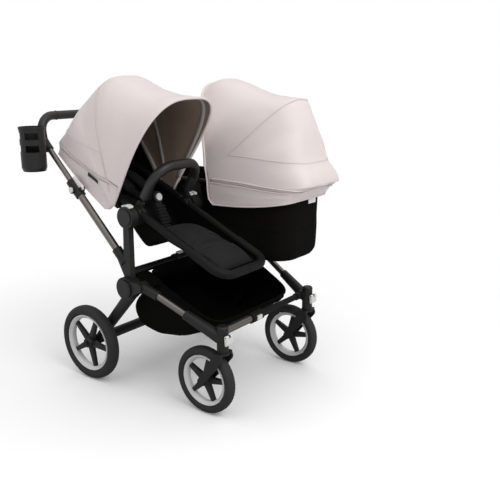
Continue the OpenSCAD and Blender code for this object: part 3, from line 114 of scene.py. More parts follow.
# Hammock of the seat, in the seat's own frame: along and up
HAMMOCK = ((-425, -7), (-312, -7), (-143, -31), (-97, -63), (-68, -104), (-15, -92), (120, -40), (436, 3.5))
RAIL_RISE = 18
SLING_HALF = 108.5
SEAT_PAD = ((-413, 2.5), (-312, 2.5), (-143, -21.5), (-93, -43), (-48, -68))
BACK_PAD = ((-7, -76), (120, -31), (365, -1.5))
PAD_HALF = 101
PAD_CORNER = 8.8

# Filling of a pad: size of its cells, pressure and length of the simulation in frames
CELL = .005
PRESSURE = 4
FILL_FRAMES = 20

# Harness, in the seat's frame: its middle strap and the left ones
CROTCH = ((0, -62, -66), (0, -36, -30), (0, 6, 10), (0, 27, 23.5))
SHOULDER = ((46, 290, -2), (44, 220, 18), (38, 130, 14), (22, 60, 34), (15, 45, 37))
WAIST = ((74, 74, -38), (60, 66, -6), (36, 50, 22), (20, 40, 31))
SHOULDER_PAD = ((46, 262, 14), (44, 220, 20), (39, 140, 18))

# Carrycot tub and basket
COT_HALF = 134
COT_LENGTH = 818
COT_MID = -3
COT_RIM = 796
COT_DEPTH = 294
COT_CORNER = 72
TUB_SIDE = .7
TUB_INSET = ((0, .5, .88, .97, 1), (0, 1.2, 3.6, 15, 29))
MATTRESS_HALVES = (96, 362)
MATTRESS_EDGE = 12
MATTRESS_CROWN = 26
TAB = (206, -414.6, 737)
BASKET_BACK = ((19.7, 482), (17.7, 446), (83.7, 385), (131.7, 316), (95.7, 252), (19.7, 214))
BASKET_FRONT = ((-301, 327), (-300, 316), (-296, 305), (-273, 293), (-200, 261), (-95, 221))
BASKET_DRAW = (1, 1, 1, .99, .95, .82)
BASKET_HALVES = (240, 272)
BASKET_POWER = 7
BASKET_SIDE = .8
BASKET_FLOOR = (-38, 213)
WING = ((258, 17, 482), (312, 30, 478), (312, -24, 424), (258, -60, 450))

# Wheels: name, centre, diameter, the tyre's height and width, body
WHEELS = (
    ("rear_right", (-338, 280, 152.5), 305, 36, 46, "rear_roll_right"),
    ("rear_left", (338, 280, 152.5), 305, 36, 46, "rear_roll_left"),
    ("front_right", (-276, -280, 127), 254, 30, 42, "front_roll_right"),
    ("front_left", (276, -280, 127), 254, 30, 42, "front_roll_left"),
)

# A tyre's grooves and blocks, its rim, the star's spokes and its hub's profile, in mm or shares of a width
GROOVE = (.12, .19)
GROOVE_DEEP = 1.1
BLOCK_FROM = .2
BLOCK_BAND = 6
BLOCK_DEEP = .9
RIM_H = 13
RIM_GAP = .4
RIM_SHARE = .36
SPOKES = 5
SPOKE = (14.5, 16.5)
SPOKE_FROM = 16
SPOKE_FLARE = (1.25, 1, 1.6)
HUB_SIDE = ((6.2, 22), (17.5, 22), (19, 20.5), (23.5, 8))
SPOKE_TURN = {"rear": math.radians(-103), "front": math.radians(-116)}
TREADS = 168

# Bars and hubs that carry trim, in mm; the bands and the run of the leg's cover are in metres
HUB = (32, 433)
HUB_OUT = 373
DRUM_OUT = 357.4
FRONT_BAR = (-340, 319)
GRIP_BAR = (499.4, 1040.1)
FOOT_BAR = (-440, 18)
BUMPER_LEAN = math.radians(8)
BUMPER_HALF = 116
BUMPER_LOW = 50
BUMPER_BEND = 80
BAND_W = .003
BAND_H = .0006
LEG_X = 294.5
LEG_FOOT = (280, 152.5)
LEG_RUN = (.047, .312)
LEG_STEPS = 12
BEAM = (262, 161.5)

# Stage: light from above falls off to the horizon, and the floor throws back a share of it
HORIZON = 0.05
BOUNCE = 0.42
FLOOR_FADE = (.9, 2.0)
LAMPS = (("front_light", (-.6, -2.85, 2.9), 1.8, 1), ("side_light", (-3.2, .6, 2.2), 1.6, .06))
LAMP_AIM = (0, 0, .7)
CAMERA_AT = (-1.943153, -1.737402, 1.206638)
CAMERA_YAW = math.radians(-52.972)
CAMERA_PITCH = math.radians(15.033)
LENS = 47.75

# Depth of a relief, how far roughness varies, and the sockets of a Mix node that blends colours
RELIEF = .0004
ROUGH_SPAN = .07
MIX_A, MIX_B, MIX_RESULT = 6, 7, 2

# The neighbour's distance, as a share, for a surface's normal, and the halvings that find a level
STEP = .004
HALVINGS = 18


def colour(name, description, default):
    """A colour that a user may change."""
    return FloatVectorProperty(name=name, description=description, subtype="COLOR", min=0, max=1,
                               default=default)


def length(name, description, default, most, least=0.0):
    """A length that a user may change."""
    return FloatProperty(name=name, description=description, unit="LENGTH", min=least, max=most,
                         default=default)


class PramCloth(bpy.types.PropertyGroup):
    """Colours and sizes of the cloth."""
    canopy: colour("Canopy", "Colour of canopy and hood", (.76, .68, .665))
    lining: colour("Lining", "Colour inside the canopy", (.235, .172, .13))
    black: colour("Seat", "Colour of seat, tub and basket cloth", (.0052, .0049, .0044))
    pad: colour("Pads", "Colour of the seat's pads", (.011, .0106, .0108))
    thickness: length("Cloth thickness", "Thickness of the canopies' cloth", .002, .004, .0005)
    wrinkle: length("Wrinkles", "Height of the cloth's wrinkles", .0016, .006)
    weave: length("Weave", "Pitch of the weave", .0012, .004, .0004)


class PramFinish(bpy.types.PropertyGroup):
    """Colours of the hard pieces."""
    casting: colour("Castings", "Colour of castings and plastic", (.0125, .012, .0116))
    tube: colour("Tubes", "Colour of the anodised tubes", (.215, .196, .178))
    button: colour("Buttons", "Colour of buttons and levers", (.7, .69, .675))
    rim: colour("Rims", "Colour of the wheels' rims", (.75, .735, .745))
    rubber: colour("Tyres", "Colour of the tyres", (.031, .0302, .03))
    leather: colour("Grips", "Colour of grip and bumper bar", (.012, .0115, .011))


class PramStage(bpy.types.PropertyGroup):
    """Floor and light."""
    floor: colour("Floor", "Colour of the floor", (.93, .93, .93))
    light: FloatProperty(name="Light", description="Strength of the front light in watts", min=0, max=400,
                         default=44)
    glow: FloatProperty(name="Floor glow", description="Own light of the floor", min=0, max=1, default=.1)
    sky: FloatProperty(name="Sky", description="Strength of the light from all round", min=0, max=3,
                       default=1.26)


def cloth():
    """The cloth's settings."""
    return bpy.context.scene.pram_cloth


def feed(tree, n, inputs):
    """Gives each input of a node a value, or another node's output."""
    for key, value in inputs.items():
        if isinstance(value, bpy.types.NodeSocket):
            tree.links.new(value, n.inputs[key])
        else:
            n.inputs[key].default_value = value


def node(tree, kind, inputs=None, **settings):
    """A new shader node with its settings and inputs."""
    n = tree.nodes.new("ShaderNode" + kind)
    for key, value in settings.items():
        setattr(n, key, value)
    feed(tree, n, inputs or {})
    return n


def math_node(g, kind, a, b=None):
    return node(g, "Math", {i: v for i, v in enumerate((a, b)) if v is not None}, operation=kind).outputs[0]


def scaled(g, vector, size):
    """A vector counted in steps of a size."""
    steps = math_node(g, "DIVIDE", 1, size)
    return node(g, "VectorMath", {0: vector, "Scale": steps}, operation="SCALE").outputs[0]


def noise_node(g, vector, scale, detail=3):
    return node(g, "TexNoise", {"Vector": vector, "Scale": scale, "Detail": detail}).outputs[0]


def new_group(name):
    """An empty effect: its group, the place and the size that come in, and its end for height and tone."""
    g = bpy.data.node_groups.new(name, "ShaderNodeTree")
    g.interface.new_socket("Vector", in_out="INPUT", socket_type="NodeSocketVector")
    g.interface.new_socket("Size", in_out="INPUT", socket_type="NodeSocketFloat").default_value = .001
    for label in ("Height", "Tone"):
        g.interface.new_socket(label, in_out="OUTPUT", socket_type="NodeSocketFloat")
    start = g.nodes.new("NodeGroupInput")
    return g, start.outputs[0], start.outputs[1], g.nodes.new("NodeGroupOutput")


def weave_group():
    """Crossing threads, and the cloth's slight unevenness."""
    g, where, size, end = new_group("Weave")
    n = node(g, "SeparateXYZ", {0: scaled(g, where, size)})
    x, y = (math_node(g, "SINE", math_node(g, "MULTIPLY", n.outputs[i], math.pi)) for i in (0, 1))
    crossed = math_node(g, "MULTIPLY", math_node(g, "MULTIPLY", x, y), .5)
    fine = math_node(g, "MULTIPLY", noise_node(g, where, 900, 2), .35)
    broad = math_node(g, "MULTIPLY", noise_node(g, where, 7, 4), .65)
    feed(g, end, {0: math_node(g, "ADD", crossed, .5), 1: math_node(g, "ADD", fine, broad)})
    return g


def grain_group():
    """Fine pebbles of moulded plastic, leather or a casting."""
    g, where, size, end = new_group("Grain")
    cells = node(g, "TexVoronoi", {"Vector": scaled(g, where, size), "Scale": 1})
    pebbles = math_node(g, "MULTIPLY", cells.outputs["Distance"], .7)
    fine = math_node(g, "MULTIPLY", noise_node(g, where, 600), .3)
    feed(g, end, {0: math_node(g, "ADD", pebbles, fine), 1: noise_node(g, where, 11, 5)})
    return g


def brushed_group():
    """Drawn metal: long streaks that hardly vary along a tube."""
    g, where, size, end = new_group("Brushed")
    drawn = node(g, "Mapping", {"Vector": where, "Scale": (900, 26, 26)})
    feed(g, end, {0: noise_node(g, drawn.outputs[0], 1, 2), 1: noise_node(g, scaled(g, where, size), .02)})
    return g


def speckle_group():
    """Pale plastic with small darker flecks."""
    g, where, size, end = new_group("Speckle")
    cells = node(g, "TexVoronoi", {"Vector": scaled(g, where, size), "Scale": 1})
    flecks = math_node(g, "MULTIPLY", cells.outputs["Distance"], 2.2)
    feed(g, end, {0: noise_node(g, where, 800), 1: math_node(g, "MINIMUM", flecks, 1)})
    return g


GROUPS = {"Weave": weave_group, "Grain": grain_group, "Brushed": brushed_group, "Speckle": speckle_group}


def finish(name, tint, rough, effect, size, bump, vary=.14, metallic=0.0, sheen=0.0, coat=0.0, uv=False,
           specular=.5):
    """A material whose colour, roughness and relief follow one of the shared effects."""
    name = "pram_" + name
    m = bpy.data.materials.get(name)
    if m:
        return m
    m = bpy.data.materials.new(name)
    m.use_nodes = True
    t = m.node_tree
    where = node(t, "TexCoord").outputs["UV" if uv else "Object"]
    group = bpy.data.node_groups.get(effect) or GROUPS[effect]()
    g = node(t, "Group", {"Vector": where, "Size": size}, node_tree=group)
    tone = g.outputs["Tone"]
    dark, pale = ([min(1, c * share) for c in tint] + [1] for share in (1 - vary, 1 + vary))
    mix = node(t, "Mix", {0: tone, MIX_A: dark, MIX_B: pale}, data_type="RGBA")
    span = node(t, "MapRange", {"Value": tone, "To Min": max(.05, rough - ROUGH_SPAN),
                                "To Max": min(1, rough + ROUGH_SPAN)})
    relief = node(t, "Bump", {"Height": g.outputs["Height"], "Strength": bump, "Distance": RELIEF})
    feed(t, t.nodes["Principled BSDF"], {
        "Base Color": mix.outputs[MIX_RESULT], "Roughness": span.outputs[0], "Normal": relief.outputs[0],
        "Metallic": metallic, "Sheen Weight": sheen, "Sheen Roughness": .45, "Coat Weight": coat,
        "Specular IOR Level": specular})
    return m


# Each look: the record's slot that it belongs to, then its colour, roughness, effect, the effect's size,
# the strength of its relief and what else differs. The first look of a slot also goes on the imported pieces.
LOOKS = {
    "canopy_cloth": ("blush_cloth", lambda c, h: (
        c.canopy, .62, "Weave", c.weave, .25, {"vary": .05, "sheen": .25, "uv": True})),
    "seam_cloth": ("blush_cloth", lambda c, h: (
        [.88 * v for v in c.canopy], .7, "Weave", .001, .3, {"vary": .06, "uv": True})),
    "zip_tape": ("blush_cloth", lambda c, h: (
        [.72 * v for v in c.canopy], .6, "Weave", .0014, .5, {"vary": .1, "uv": True})),
    "black_cloth": ("black_cloth", lambda c, h: (
        c.black, .92, "Weave", c.weave, .3, {"vary": .3, "uv": True, "specular": .05})),
    "label_cloth": ("black_cloth", lambda c, h: ((.012, .012, .014), .5, "Weave", .0007, .2, {"uv": True})),
    "pad_cloth": ("charcoal_cloth", lambda c, h: (
        c.pad, .75, "Weave", 1.6 * c.weave, .4, {"vary": .2, "sheen": .04, "specular": .2})),
    "lining_cloth": ("charcoal_cloth", lambda c, h: (
        c.lining, .7, "Weave", c.weave, .2, {"vary": .2, "sheen": .1, "uv": True})),
    "rib_cloth": ("charcoal_cloth", lambda c, h: ((.42, .4, .38), .5, "Weave", c.weave, .2, {"uv": True})),
    "pale_cloth": ("white_cloth", lambda c, h: ((.72, .71, .69), .8, "Weave", c.weave, .3, {"vary": .06})),
    "webbing": ("webbing", lambda c, h: (
        (.009, .009, .009), .6, "Weave", .0022, .6, {"uv": True, "specular": .3})),
    "casting": ("black_casting", lambda c, h: (
        h.casting, .5, "Grain", .0009, .2, {"vary": .15, "specular": .34})),
    "plastic": ("black_plastic", lambda c, h: (
        [1.05 * v for v in h.casting], .45, "Grain", .0007, .15, {"vary": .12, "specular": .34})),
    "dull_black": ("black_plastic", lambda c, h: (
        [.55 * v for v in h.casting], .6, "Grain", .0011, .3, {"vary": .15, "specular": .16})),
    "anodised": ("anodised_tube", lambda c, h: (
        h.tube, .4, "Brushed", .001, .02, {"vary": .05, "metallic": 1.0})),
    "white_plastic": ("white_plastic", lambda c, h: (h.button, .4, "Speckle", .0016, .1, {"vary": .12})),
    "cream": ("cream_rim", lambda c, h: (h.rim, .38, "Grain", .0012, .06, {"vary": .03, "coat": .2})),
    "rubber": ("tyre_rubber", lambda c, h: (
        h.rubber, .74, "Grain", .0008, .3, {"vary": .2, "specular": .3})),
    "leather": ("grip_leather", lambda c, h: (
        h.leather, .48, "Grain", .0016, .55, {"vary": .2, "coat": .06})),
}
NODE_LOOKS = {"seat_rails": "dull_black", "seat_bows": "dull_black", "front_crossbar": "dull_black"}


def look(name):
    """The material of a look, with the colours that are set now."""
    scene = bpy.context.scene
    colour_now, rough, effect, size, bump, more = LOOKS[name][1](scene.pram_cloth, scene.pram_finish)
    return finish(name, colour_now, rough, effect, size, bump, **more)


def curve(keys, values, at):
    """A smooth curve through values at keys."""
    if at <= keys[0]:
        return values[0]
    if at >= keys[-1]:
        return values[-1]
    i = max(k for k in range(len(keys) - 1) if keys[k] <= at)

    def slope(k):
        a, b = max(k - 1, 0), min(k + 1, len(keys) - 1)
        return (values[b] - values[a]) / (keys[b] - keys[a])

    wide = keys[i + 1] - keys[i]
    t = (at - keys[i]) / wide
    a, b = values[i], values[i + 1]
    return ((2 * t ** 3 - 3 * t ** 2 + 1) * a + (t ** 3 - 2 * t ** 2 + t) * wide * slope(i)
            + (3 * t ** 2 - 2 * t ** 3) * b + (t ** 3 - t ** 2) * wide * slope(i + 1))


def signed(v, power):
    return math.copysign(abs(v) ** power, v)


def on_seat(x, y, z):
    """A point of the seat's own frame, in mm, as one of the row frame, in metres."""
    c, s = math.cos(SEAT_SLOPE), math.sin(SEAT_SLOPE)
    return Vector((x - UNIT_X, JOINT[0] + y * c - z * s, JOINT[1] + y * s + z * c)) * MM


def on_cot(x, y, z):
    return Vector((x + UNIT_X, y, z)) * MM


def arch(u, half, power, bulge):
    """Place across and share of the reach, along one bow."""
    turn = ROW_START + u * (math.pi - 2 * ROW_START)
    c, s = math.cos(turn), math.sin(turn)
    k = (abs(c) ** power + abs(s) ** power) ** (-1 / power)
    return (half + bulge * k * s) * k * c, k * s


def canopy_bare(u, w):
    """The seat canopy before its front corners are drawn in, and the row's height share there."""
    part = max(0, (w - HEM_PART) / (1 - HEM_PART))
    angle = CANOPY_ANGLES[0] + (CANOPY_ANGLES[-1] - CANOPY_ANGLES[0]) * part
    reach = CANOPY_REACH * curve(CANOPY_ANGLES, CANOPY_SHARES, angle)
    x, h = arch(u, CANOPY_HALF, curve(CANOPY_ANGLES, CANOPY_POWERS, angle),
                CANOPY_BULGE * curve(CANOPY_ANGLES, CANOPY_BULGES, angle))
    turn = math.radians(angle)
    y, z = reach * h * math.cos(turn), reach * h * math.sin(turn)
    if w < HEM_PART:
        low = HEM_RISE * max(0, h) ** HEM_POWER - HEM_DROP - REAR_DIP * max(0, 1 - (x / CANOPY_HALF) ** 6)
        z = low + (z - low) * w / HEM_PART
    return x, CANOPY_AT[0] + y, CANOPY_AT[1] + z, h


def canopy_local(u, w):
    """The seat canopy in the seat's frame: w runs from its hem to its front rim."""
    x, y, z, h = canopy_bare(u, w)
    _, y0, z0, h0 = canopy_bare(0, w)
    pull = max(0, 1 - h + h0) ** 4
    keys, ys, zs = CANOPY_EDGE
    x += math.copysign(PIN_COVER * pull ** 2, x)
    return x, y + (curve(keys, ys, w) - y0) * pull, z + (curve(keys, zs, w) - z0) * pull


def canopy_point(u, w):
    return on_seat(*canopy_local(u, w))


def canopy_level(level):
    """The row share, by u, at which the canopy stands at a height given along the seat."""
    def row(u):
        low, high = 0.0, 1.0
        for _ in range(HALVINGS):
            mid = (low + high) / 2
            _, y, z = canopy_local(u, mid)
            if z < curve(*level, y):
                low = mid
            else:
                high = mid
        return low
    return row


def canopy_row(angle):
    """The share along the canopy at which a row lies."""
    return HEM_PART + (1 - HEM_PART) * (angle - CANOPY_ANGLES[0]) / (CANOPY_ANGLES[-1] - CANOPY_ANGLES[0])


def hood_bare(u, w):
    """The carrycot's hood before its rear edge is drawn straight, and the row's height share there."""
    key = HOOD_KEYS[0] + (HOOD_KEYS[-1] - HOOD_KEYS[0]) * w
    reach = HOOD_REACH * curve(HOOD_KEYS, HOOD_SHARES, key)
    x, h = arch(u, HOOD_HALF, curve(HOOD_KEYS, HOOD_POWERS, key), 0)
    turn = math.radians(min(key, BRIM))
    y, z = reach * h * math.cos(turn), reach * h * math.sin(turn)
    if key > BRIM:
        z = (BRIM - key) * (1 - SKIRT_RISE * h * h)
    return x, HOOD_AT[0] + y, HOOD_AT[1] + z, h


def hood_point(u, w):
    """The carrycot's hood: w runs from its rear bow over the brim to its skirt's hem."""
    x, y, z, h = hood_bare(u, w)
    _, y0, z0, h0 = hood_bare(0, w)
    pull = max(0, 1 - h + h0) ** 3
    keys, zs, ys = HOOD_EDGE
    x += math.copysign(PIN_COVER * pull ** 2, x)
    key = keys[0] + (keys[-1] - keys[0]) * w
    return on_cot(x, y + (curve(keys, ys, key) - y0) * pull, z + (curve(keys, zs, key) - z0) * pull)


def hood_row(key):
    return (key - HOOD_KEYS[0]) / (HOOD_KEYS[-1] - HOOD_KEYS[0])


def normal_at(place, u, w):
    """The surface's own normal at a place, from its neighbours."""
    a, b = place(max(0, u - STEP), w), place(min(1, u + STEP), w)
    c, d = place(u, max(0, w - STEP)), place(u, min(1, w + STEP))
    n = (b - a).cross(d - c)
    return n.normalized() if n.length > 0 else UP.copy()


def lifted(place, height, sign):
    """A surface at a height over another."""
    return lambda u, w: place(u, w) + normal_at(place, u, w) * (sign * height)


def uneven(place, height, sign, scale, seed):
    """A surface with soft wrinkles in it."""
    def lay(u, w):
        e = noise.noise(Vector((u * scale[0], w * scale[1], seed)))
        e += .5 * noise.noise(Vector((u * scale[0] * 2.3, w * scale[1] * 1.7, seed + 9)))
        ends = min(1, 8 * u, 8 * (1 - u), 10 * w, 10 * (1 - w))
        return place(u, w) + normal_at(place, u, w) * (sign * height * e * max(0, ends))
    return lay


def grid(place, across, along, size, closed=False):
    """A bmesh grid laid on a surface, with UV in metres."""
    bm = bmesh.new()
    uv = bm.loops.layers.uv.new("UVMap")
    bmesh.ops.create_grid(bm, x_segments=across, y_segments=along, size=.5)
    spots = {v: (v.co.x + .5, v.co.y + .5) for v in bm.verts}
    for f in bm.faces:
        for corner in f.loops:
            u, w = spots[corner.vert]
            corner[uv].uv = (u * size[0], w * size[1])
    for v, (u, w) in spots.items():
        v.co = place(u, w)
    if closed:
        bmesh.ops.remove_doubles(bm, verts=bm.verts, dist=1e-6)
    return bm


def outward(bm, centre):
    """Turns an open sheet's faces away from a point."""
    bm.normal_update()
    if sum((f.calc_center_median() - centre).dot(f.normal) * f.calc_area() for f in bm.faces) < 0:
        bmesh.ops.reverse_faces(bm, faces=bm.faces)


def put(name, bm, *looks, body=None, stands_for=(), sharp=38, closed=True):
    """The object of a bmesh, with its looks, what it stands for and its body."""
    if closed:
        bmesh.ops.recalc_face_normals(bm, faces=bm.faces)
    mesh = bpy.data.meshes.new(name)
    bm.to_mesh(mesh)
    bm.free()
    mesh.shade_smooth()
    mesh.set_sharp_from_angle(angle=math.radians(sharp))
    for one in looks:
        mesh.materials.append(look(one))
    obj = bpy.data.objects.new(name, mesh)
    bpy.context.scene.collection.objects.link(obj)
    if stands_for:
        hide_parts(*stands_for)
    if body:
        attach(obj, body)
    return obj


def thicken(obj, thickness, inner=0, offset=-1):
    m = obj.modifiers.new("thickness", "SOLIDIFY")
    m.thickness = thickness
    m.offset = offset
    m.use_even_offset = False
    m.material_offset = inner
    return obj


def shares(n):
    """Even shares from 0 to 1, in n steps."""
    return [i / n for i in range(n + 1)]


def length_of(points):
    return sum((b - a).length for a, b in zip(points, points[1:]))


def declare_sheet(place):
    """Works out how far the cloth reaches both ways, but keeps neither length and works out no area."""
    steps = shares(60)
    wide = max(length_of([place(u, w) for u in steps]) for w in (0, .25, .5, .75, 1))
    long = max(length_of([place(u, w) for w in steps]) for u in (.02, .25, .5))


def frames(path, side):
    """Two directions across each place of a path: carried on without twist, or kept to a given side."""
    n = len(path)
    across, turned = side, []
    for i in range(n):
        t = (path[min(i + 1, n - 1)] - path[max(i - 1, 0)]).normalized()
        if across is None:
            across = t.orthogonal().normalized()
        s = (across - t * across.dot(t)).normalized()
        turned.append((s, t.cross(s)))
        if side is None:
            across = s
    return turned


def sweep(path, section, around, side=None):
    """A section carried along a path, with both ends closed. section(u, i) gives its two offsets."""
    n = len(path)
    turned = frames(path, side)

    def place(u, w):
        i = min(n - 1, int(round(w * (n - 1))))
        a, b = section(u, i)
        return path[i] + turned[i][0] * a + turned[i][1] * b

    bm = grid(place, around, n - 1, (.02, length_of(path)), closed=True)
    bmesh.ops.holes_fill(bm, edges=[e for e in bm.edges if e.is_boundary])
    return bm


def rod(path, radius, around=10):
    """A round cord along a path. radius is one size or a function of the place."""
    n = len(path)

    def section(u, i):
        r = radius(i / (n - 1)) if callable(radius) else radius
        return r * math.cos(2 * math.pi * u), r * math.sin(2 * math.pi * u)

    return sweep(path, section, around)


def strap(path, width, thick, around=16, edge=4):
    """A flat strap along a path, rounded at its edges."""
    def section(u, i):
        t = 2 * math.pi * u
        return width / 2 * signed(math.cos(t), 2 / edge), thick / 2 * signed(math.sin(t), 2 / edge)
    return sweep(path, section, around, ACROSS)


def smooth_path(points, steps):
    """A smooth path through points."""
    keys = [0]
    for a, b in zip(points, points[1:]):
        keys.append(keys[-1] + max(1e-6, (Vector(b) - Vector(a)).length))
    return [Vector([curve(keys, [p[k] for p in points], keys[-1] * i / steps) for k in range(3)])
            for i in range(steps + 1)]


def seat_path(points, s=1, steps=40):
    """A smooth path through points of the seat's frame, mirrored where s is -1."""
    return smooth_path([on_seat(s * x, y, z) for x, y, z in points], steps)


def lathe(profile, centre, steps, axis=ACROSS):
    """A profile of (radius, place along the axis) spun about an axis through a centre."""
    bm = bmesh.new()
    axis = axis.normalized()
    out = axis.orthogonal().normalized()
    verts = [bm.verts.new(Vector(centre) + out * r + axis * x) for r, x in profile]
    edges = [bm.edges.new(pair) for pair in zip(verts, verts[1:])]
    bmesh.ops.spin(bm, geom=verts + edges, cent=centre, axis=axis, angle=2 * math.pi, steps=steps,
                   use_merge=True, use_duplicate=False)
    bmesh.ops.remove_doubles(bm, verts=bm.verts, dist=1e-6)
    return bm


def join(*parts):
    """Several bmeshes as one."""
    whole = bmesh.new()
    for bm in parts:
        mesh = bpy.data.meshes.new("part")
        bm.to_mesh(mesh)
        bm.free()
        whole.from_mesh(mesh)
        bpy.data.meshes.remove(mesh)
    return whole


def soften(bm, offset, segments):
    """Rounds the edges of a block."""
    bmesh.ops.bevel(bm, geom=bm.edges, offset=offset, offset_type="OFFSET", segments=segments, profile=.5,
                    affect="EDGES", material=-1, clamp_overlap=True)


def block(size, at, turn, bevel, segments=2):
    """A box with rounded edges."""
    bm = bmesh.new()
    bmesh.ops.create_cube(bm, size=1)
    bmesh.ops.scale(bm, vec=size, verts=bm.verts)
    if bevel:
        soften(bm, bevel, segments)
    if turn:
        bmesh.ops.transform(bm, matrix=turn.to_4x4(), verts=bm.verts)
    bmesh.ops.translate(bm, vec=at, verts=bm.verts)
    return bm


def along_row(place, w, start=0.0, end=1.0, height=0.0, sign=1, steps=90):
    """Points along one row of a surface; w may be a function of u."""
    path = []
    for i in range(steps + 1):
        u = start + (end - start) * i / steps
        at = w(u) if callable(w) else w
        p = place(u, at)
        path.append(p + normal_at(place, u, at) * (sign * height) if height else p)
    return path


def ribbon(place, row, start, end, width, height, sign, middle, steps=90):
    """A band of one width laid along a row of a surface, facing away from its middle.

    row may be a function of u.
    """
    def share(u):
        return row(u) if callable(row) else row

    def lay(u, w):
        at = start + (end - start) * u
        t = share(at)
        ahead, behind = min(1, at + STEP), max(0, at - STEP)
        way = place(ahead, share(ahead)) - place(behind, share(behind))
        n = normal_at(place, at, t) * sign
        return place(at, t) + n * height + n.cross(way).normalized() * (width * (w - .5))
    bm = grid(lay, steps, 2, (.9, width))
    outward(bm, middle)
    return bm


def facing(place, centre):
    """Whether the surface's own normal looks away from a point: 1 or -1."""
    p = place(.5, .5)
    return 1 if normal_at(place, .5, .5).dot(p - centre) > 0 else -1


class PRAM_OT_finishes(bpy.types.Operator):
    """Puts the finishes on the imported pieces"""
    bl_idname = "pram.finishes"
    bl_label = "Finishes"

    def execute(self, context):
        for row in frame["record"]["subparts"]:
            node = frame["nodes"][row["node"]]
            node.data.materials.clear()
            named = [n for n, (slot, make) in LOOKS.items() if slot == row["material_slot"]]
            node.data.materials.append(look(NODE_LOOKS.get(row["node"], named[0])))
        return {"FINISHED"}


def canopy_blend(obj):
    """Bakes a canopy piece's place into its mesh."""
    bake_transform(obj)


class PRAM_OT_canopy(bpy.types.Operator):
    """Makes the seat's canopy: one sheet from hem to rim, its lining, ribs, seams and zip"""
    bl_idname = "pram.canopy"
    bl_label = "Seat canopy"

    def execute(self, context):
        middle = on_seat(0, 200, 150)
        sign = facing(canopy_point, middle)
        place = uneven(canopy_point, cloth().wrinkle, sign, (9, 7), 3)
        bm = grid(place, 112, 120, (.9, CLOTH_LENGTH))
        outward(bm, middle)
        low = canopy_row(LINING_FROM)
        layer = bm.loops.layers.uv.active
        for f in bm.faces:
            if max(c[layer].uv.y for c in f.loops) < low * CLOTH_LENGTH:
                f.material_index = 2
        sheet = put("canopy", bm, "canopy_cloth", "lining_cloth", "canopy_cloth", "black_cloth",
                    stands_for=("canopy_shell", "canopy_visor"), sharp=80, closed=False)
        extras = []
        rim = rod(along_row(place, 1.0), .0052)
        extras.append(put("canopy_rim", rim, "canopy_cloth", stands_for=("canopy_bow",)))
        hem = rod(along_row(place, 0.0), .0028)
        extras.append(put("canopy_hem", hem, "seam_cloth"))
        rows = [rod(along_row(place, canopy_row(a), .03, .97, .0006, sign), .0013, 6) for a in CANOPY_SEAMS]
        rows.append(rod(along_row(place, canopy_level(SIDE_SEAM), .12, .88, .0006, sign), .0013, 6))
        extras.append(put("canopy_seams", join(*rows), "seam_cloth"))
        zip_row = canopy_level(ZIP_LEVEL)
        tape = ribbon(place, zip_row, .036, .964, .016, .0017, sign, middle)
        extras.append(thicken(put("canopy_zip_tape", tape, "zip_tape", closed=False), .0014))
        teeth = rod(along_row(place, zip_row, .036, .964, .0026, sign), .0016, 6)
        extras.append(put("canopy_zip", teeth, "seam_cloth"))
        label = ribbon(place, canopy_level(LABEL_LEVEL), .882, .924, .015, .0022, sign, middle, 12)
        extras.append(thicken(put("canopy_label", label, "label_cloth", closed=False), .0014))
        ribs = [ribbon(place, canopy_row(a), .05, .95, w, -.0045, sign, middle) for a, w in CANOPY_RIBS]
        ribs = put("canopy_ribs", join(*ribs), "rib_cloth", closed=False)
        extras.append(thicken(ribs, .0018, offset=0))
        for e in extras + [sheet]:
            canopy_blend(e)
        thicken(sheet, cloth().thickness, inner=1)
        declare_sheet(place)
        return {"FINISHED"}


def hood_blend(obj):
    """Bakes a hood piece's place into its mesh."""
    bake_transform(obj)


def hood_panel(u):
    """The lower seam of the hood's front panel."""
    start, rise, reach = PANEL_SEAM
    return hood_row(start + rise * (1 - min(1, abs(2 * u - 1) / reach) ** 5))


def hood_brim(key):
    """A line of the brim, which dips at the hood's front corners."""
    dip, at, wide = BRIM_DIP
    return lambda u: hood_row(key + dip * math.exp(-((abs(2 * u - 1) - at) / wide) ** 2))


